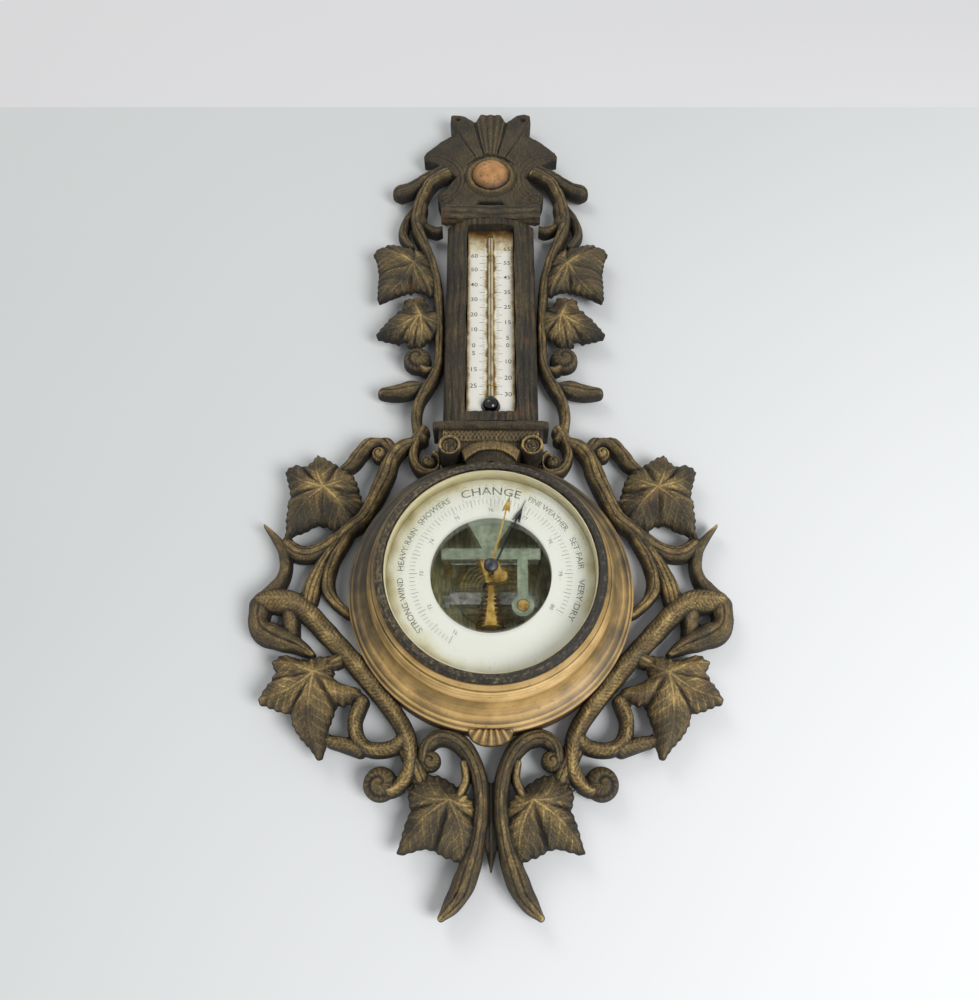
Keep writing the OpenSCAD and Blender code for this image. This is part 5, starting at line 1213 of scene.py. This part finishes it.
def wire_tree():
    """Sweeps a round wire along the mesh's line of edges."""
    tree, given, ids = node_tree("wire", Geometry=("NodeSocketGeometry", None), Radius=(FLOAT, 0.001),
                                 Sides=(INT, 12), Material=(MATERIAL, None))
    curve = add(tree, "GeometryNodeMeshToCurve", (given["Geometry"],))
    section = add(tree, "GeometryNodeCurvePrimitiveCircle",
                  {"Resolution": given["Sides"], "Radius": given["Radius"]})
    swept = add(tree, "GeometryNodeCurveToMesh", {0: curve, 1: section, "Fill Caps": True})
    close_tree(tree, add(tree, "GeometryNodeSetShadeSmooth", (swept,)), given)
    return tree, ids


def marks_tree():
    """Short bars round a centre: bar number k stands at Start + k * Step, clockwise from the top."""
    tree, given, ids = node_tree("dial_marks", Count=(INT, 91), Start=(FLOAT, -2.6), Step=(FLOAT, 0.05),
                                 Radius=(FLOAT, 0.06), Length=(FLOAT, 0.004), Width=(FLOAT, 0.0003),
                                 Centre=("NodeSocketVector", (0, 0, 0)), Material=(MATERIAL, None))
    index = add(tree, "GeometryNodeInputIndex")
    angle = add(tree, MATH, (index, given["Step"], given["Start"]), operation="MULTIPLY_ADD")
    sine, cosine = (add(tree, MATH, (angle,), operation=kind) for kind in ("SINE", "COSINE"))
    across = add(tree, MATH, (sine, given["Radius"]), operation="MULTIPLY")
    above = add(tree, MATH, (cosine, given["Radius"]), operation="MULTIPLY")
    place = add(tree, JOIN, {0: across, 2: above})
    moved = add(tree, VECTOR, (place, given["Centre"]), operation="ADD")
    spots = add(tree, "GeometryNodePoints", {"Count": given["Count"], "Position": moved})
    turn = add(tree, JOIN, {1: angle})
    size = add(tree, JOIN, (given["Width"], INK_DEPTH, given["Length"]))
    bar = add(tree, "GeometryNodeMeshCube", {"Size": size})
    bars = add(tree, "GeometryNodeInstanceOnPoints", {"Points": spots, "Instance": bar, "Rotation": turn})
    close_tree(tree, bars, given)
    return tree, ids


def ladder_tree():
    """A ladder of level bars up the thermometer's scale."""
    tree, given, ids = node_tree("scale_marks", Count=(INT, 20), Foot=("NodeSocketVector", (0, 0, 0)),
                                 Pitch=(FLOAT, 0.0017), Length=(FLOAT, 0.003), Width=(FLOAT, 0.0003),
                                 Material=(MATERIAL, None))
    rise = add(tree, JOIN, {2: given["Pitch"]})
    line = add(tree, "GeometryNodeMeshLine", {"Count": given["Count"], "Start Location": given["Foot"],
                                              "Offset": rise})
    size = add(tree, JOIN, (given["Length"], INK_DEPTH, given["Width"]))
    bar = add(tree, "GeometryNodeMeshCube", {"Size": size})
    close_tree(tree, add(tree, "GeometryNodeInstanceOnPoints", {"Points": line, "Instance": bar}), given)
    return tree, ids


WIRE, MARKS, LADDER = wire_tree(), marks_tree(), ladder_tree()


def wire(name, lines, radius_mm, material, slot, node):
    """A round wire along each of several lines of bench points."""
    mesh = bpy.data.meshes.new(name + "_line")
    verts, edges = [], []
    for line in lines:
        first = len(verts)
        verts += hung(line).tolist()
        edges += [(first + k, first + k + 1) for k in range(len(line) - 1)]
    mesh.from_pydata(verts, edges, [])
    grown(name, *WIRE, {"Radius": radius_mm * MM, "Sides": 12, "Material": material}, mesh, slot, node)


def main_spring():
    """Conical coil of the movement: wide end on the lever's wall, narrow end on the tongue."""
    curls, small, wide, flat = 7, 6.5, 11.0, 0.4
    first, last = -11.6, -36.8 + 0.45 + 0.65
    u = np.linspace(0, 1, 48 * curls + 1)
    a, r = 2 * math.pi * curls * u, small + (wide - small) * u
    v = np.clip((u - flat / curls) / (1 - 2 * flat / curls), 0, 1)
    coil = np.column_stack((r * np.cos(a), first + (last - first) * v, 36.4 + r * np.sin(a)))
    wire("coil_spring", [coil], 0.65, SPRING, "spring_wire", "main_spring")


def staples():
    """Wire staples over the thermometer's tube."""
    lines = []
    for y in (185, 329):
        arch = [[3.4 * math.cos(a), y, 34.8 + 3.4 * math.sin(a)] for a in np.linspace(0, math.pi, 25)]
        lines.append([[3.4, y, 30.6]] + arch + [[-3.4, y, 30.6]])
    wire("tube_staples", lines, 0.45, BRASS, "brass", "tube_clips")


main_spring()
staples()


# Numbers and words: plain figures and generic weather words

def flat_text(words, size, bold=0.0):
    """Text as flat triangles: points in the text's own plane, centred, in millimetres."""
    curve = bpy.data.curves.new("text", "FONT")
    curve.body, curve.size, curve.align_x, curve.align_y = words, size, "CENTER", "CENTER"
    curve.offset, curve.resolution_u = bold, 3
    obj = bpy.data.objects.new("text", curve)
    bpy.context.scene.collection.objects.link(obj)
    bpy.context.view_layer.update()
    mesh = bpy.data.meshes.new_from_object(obj.evaluated_get(bpy.context.evaluated_depsgraph_get()))
    points = np.array([v.co[:2] for v in mesh.vertices]).reshape(-1, 2)
    faces = [tuple(f.vertices) for f in mesh.polygons]
    bpy.data.objects.remove(obj)
    return points, faces


def print_on(name, items, z, material):
    """Lays texts on a face: each item is (words, size, bend), where bend takes text points to bench x, y."""
    points, faces = [], []
    for words, size, bend in items:
        flat, polys = flat_text(words, size, size * 0.004)
        first = len(points)
        points += [[x, y, z + INK] for x, y in bend(flat)]
        faces += [tuple(first + k for k in f) for f in polys]
    piece(name, hung(points), faces, material, "blued_steel")


def round_dial(radius, degrees, spread=1.0):
    """Bends text round the dial: its middle stands at degrees clockwise from the top, its foot inwards."""
    def bend(flat):
        a = math.radians(degrees) + flat[:, 0] * spread / radius
        r = radius + flat[:, 1]
        return np.column_stack((r * np.sin(a), r * np.cos(a)))
    return bend


def level(x, y, wide=1.0):
    """Sets text level, its middle at x, y."""
    def bend(flat):
        return np.column_stack((x + flat[:, 0] * wide, y + flat[:, 1]))
    return bend


def dial_print():
    """Centimetres of mercury, weather words, and two rings of marks at each third and fifteenth degree."""
    texts = [(str(DIAL_LOW + k), 4.3, round_dial(53.6, DIAL_START + DEGREES_A_CM * k)) for k in range(10)]
    texts += [(words, size, round_dial(70.2, at, spread)) for words, size, at, spread in (
        ("STRONG WIND", 6.8, -112, 0.98), ("HEAVY RAIN", 6.8, -73, 0.98), ("SHOWERS", 6.8, -41, 1.02),
        ("CHANGE", 9.6, 0, 1.25), ("FINE WEATHER", 6.4, 42, 0.92), ("SET FAIR", 6.8, 76, 1.05),
        ("VERY DRY", 6.8, 108, 1.12))]
    print_on("dial_figures", texts, DIAL_Z, DIAL_INK)
    centre = tuple(hung([0, 0, DIAL_Z + 0.02])[0])
    empty = bpy.data.meshes.new("marks_seed")
    for name, count, step, radius, length, width in (("dial_marks_fine", 91, 3, 61.2, 4.2, 0.32),
                                                     ("dial_marks_long", 19, 15, 60.4, 6.4, 0.42)):
        values = {"Count": count, "Start": math.radians(DIAL_START), "Step": math.radians(step),
                  "Radius": radius * MM, "Length": length * MM, "Width": width * MM, "Centre": centre,
                  "Material": DIAL_INK}
        grown(name, *MARKS, values, empty.copy(), "blued_steel")


def scale_print():
    """Degrees beside the tube, every tenth one on the left and the fives between them on the right."""
    left = [(60, 330.7), (50, 314.4), (40, 296.7), (30, 279.8), (20, 262.7), (10, 246.1), (0, 228.6),
            (5, 220.3), (15, 203.1), (25, 185.9)]
    right = [(65, 338.9), (55, 322.2), (45, 305.1), (35, 288), (25, 271), (15, 253.9), (5, 236.8),
             (0, 228.6), (10, 211.2), (20, 194.1), (30, 177)]
    texts = [(str(n), 6.2, level(x, y, 1.1)) for x, rows in ((-15.5, left), (15.5, right)) for n, y in rows]
    print_on("scale_figures", texts, 34.0, SCALE_INK)
    empty = bpy.data.meshes.new("ladder_seed")
    foot, degree = 177, 1.705
    for side, word in ((-1, "left"), (1, "right")):
        for kind, count, pitch, length, width in (("fine", 100, degree, 2.6, 0.22),
                                                  ("long", 23, 5 * degree, 5.2, 0.4)):
            low = tuple(hung([side * (5.2 + length / 2), foot, 34.02])[0])
            values = {"Count": count, "Foot": low, "Pitch": pitch * MM, "Length": length * MM,
                      "Width": width * MM, "Material": SCALE_INK}
            grown("scale_marks_%s_%s" % (kind, word), *LADDER, values, empty.copy(), "blued_steel")


dial_print()
scale_print()


# Materials of the frame's own nodes

FINISHES = (
    (BOARD, "base_board"), (BARE, "crest_boss"), (MILK, "scale_plate"), (TUBE, "thermometer_tube"),
    (MERCURY, "mercury"), (TIN, "drum_case"), (WINDOW, "glass"), (CREAM, "reflector_band"),
    (SILVERED, "dial_plate"), (KNOB, "set_hand_knob"), (FLOOR, "movement_plate"), (CAPSULE, "capsule"),
    (BRIDGE, "t_bridge"), (BLUED, "pointer hairspring"),
    (BRASS, "hanger_plate flange_screws glass_wire dial_feet set_hand plate_screws adjusting_screw lever "
            "lever_stand bridge_pillars bridge_screws arbor_cock cock_screw"),
    (STEEL, "hanger_screws pointer_arbor capsule_post spring_bridge lever_pin link rocking_shaft chain"),
)
for material, names in FINISHES:
    for name in names.split():
        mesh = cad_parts[name].data
        mesh.materials.clear()
        mesh.materials.append(material)
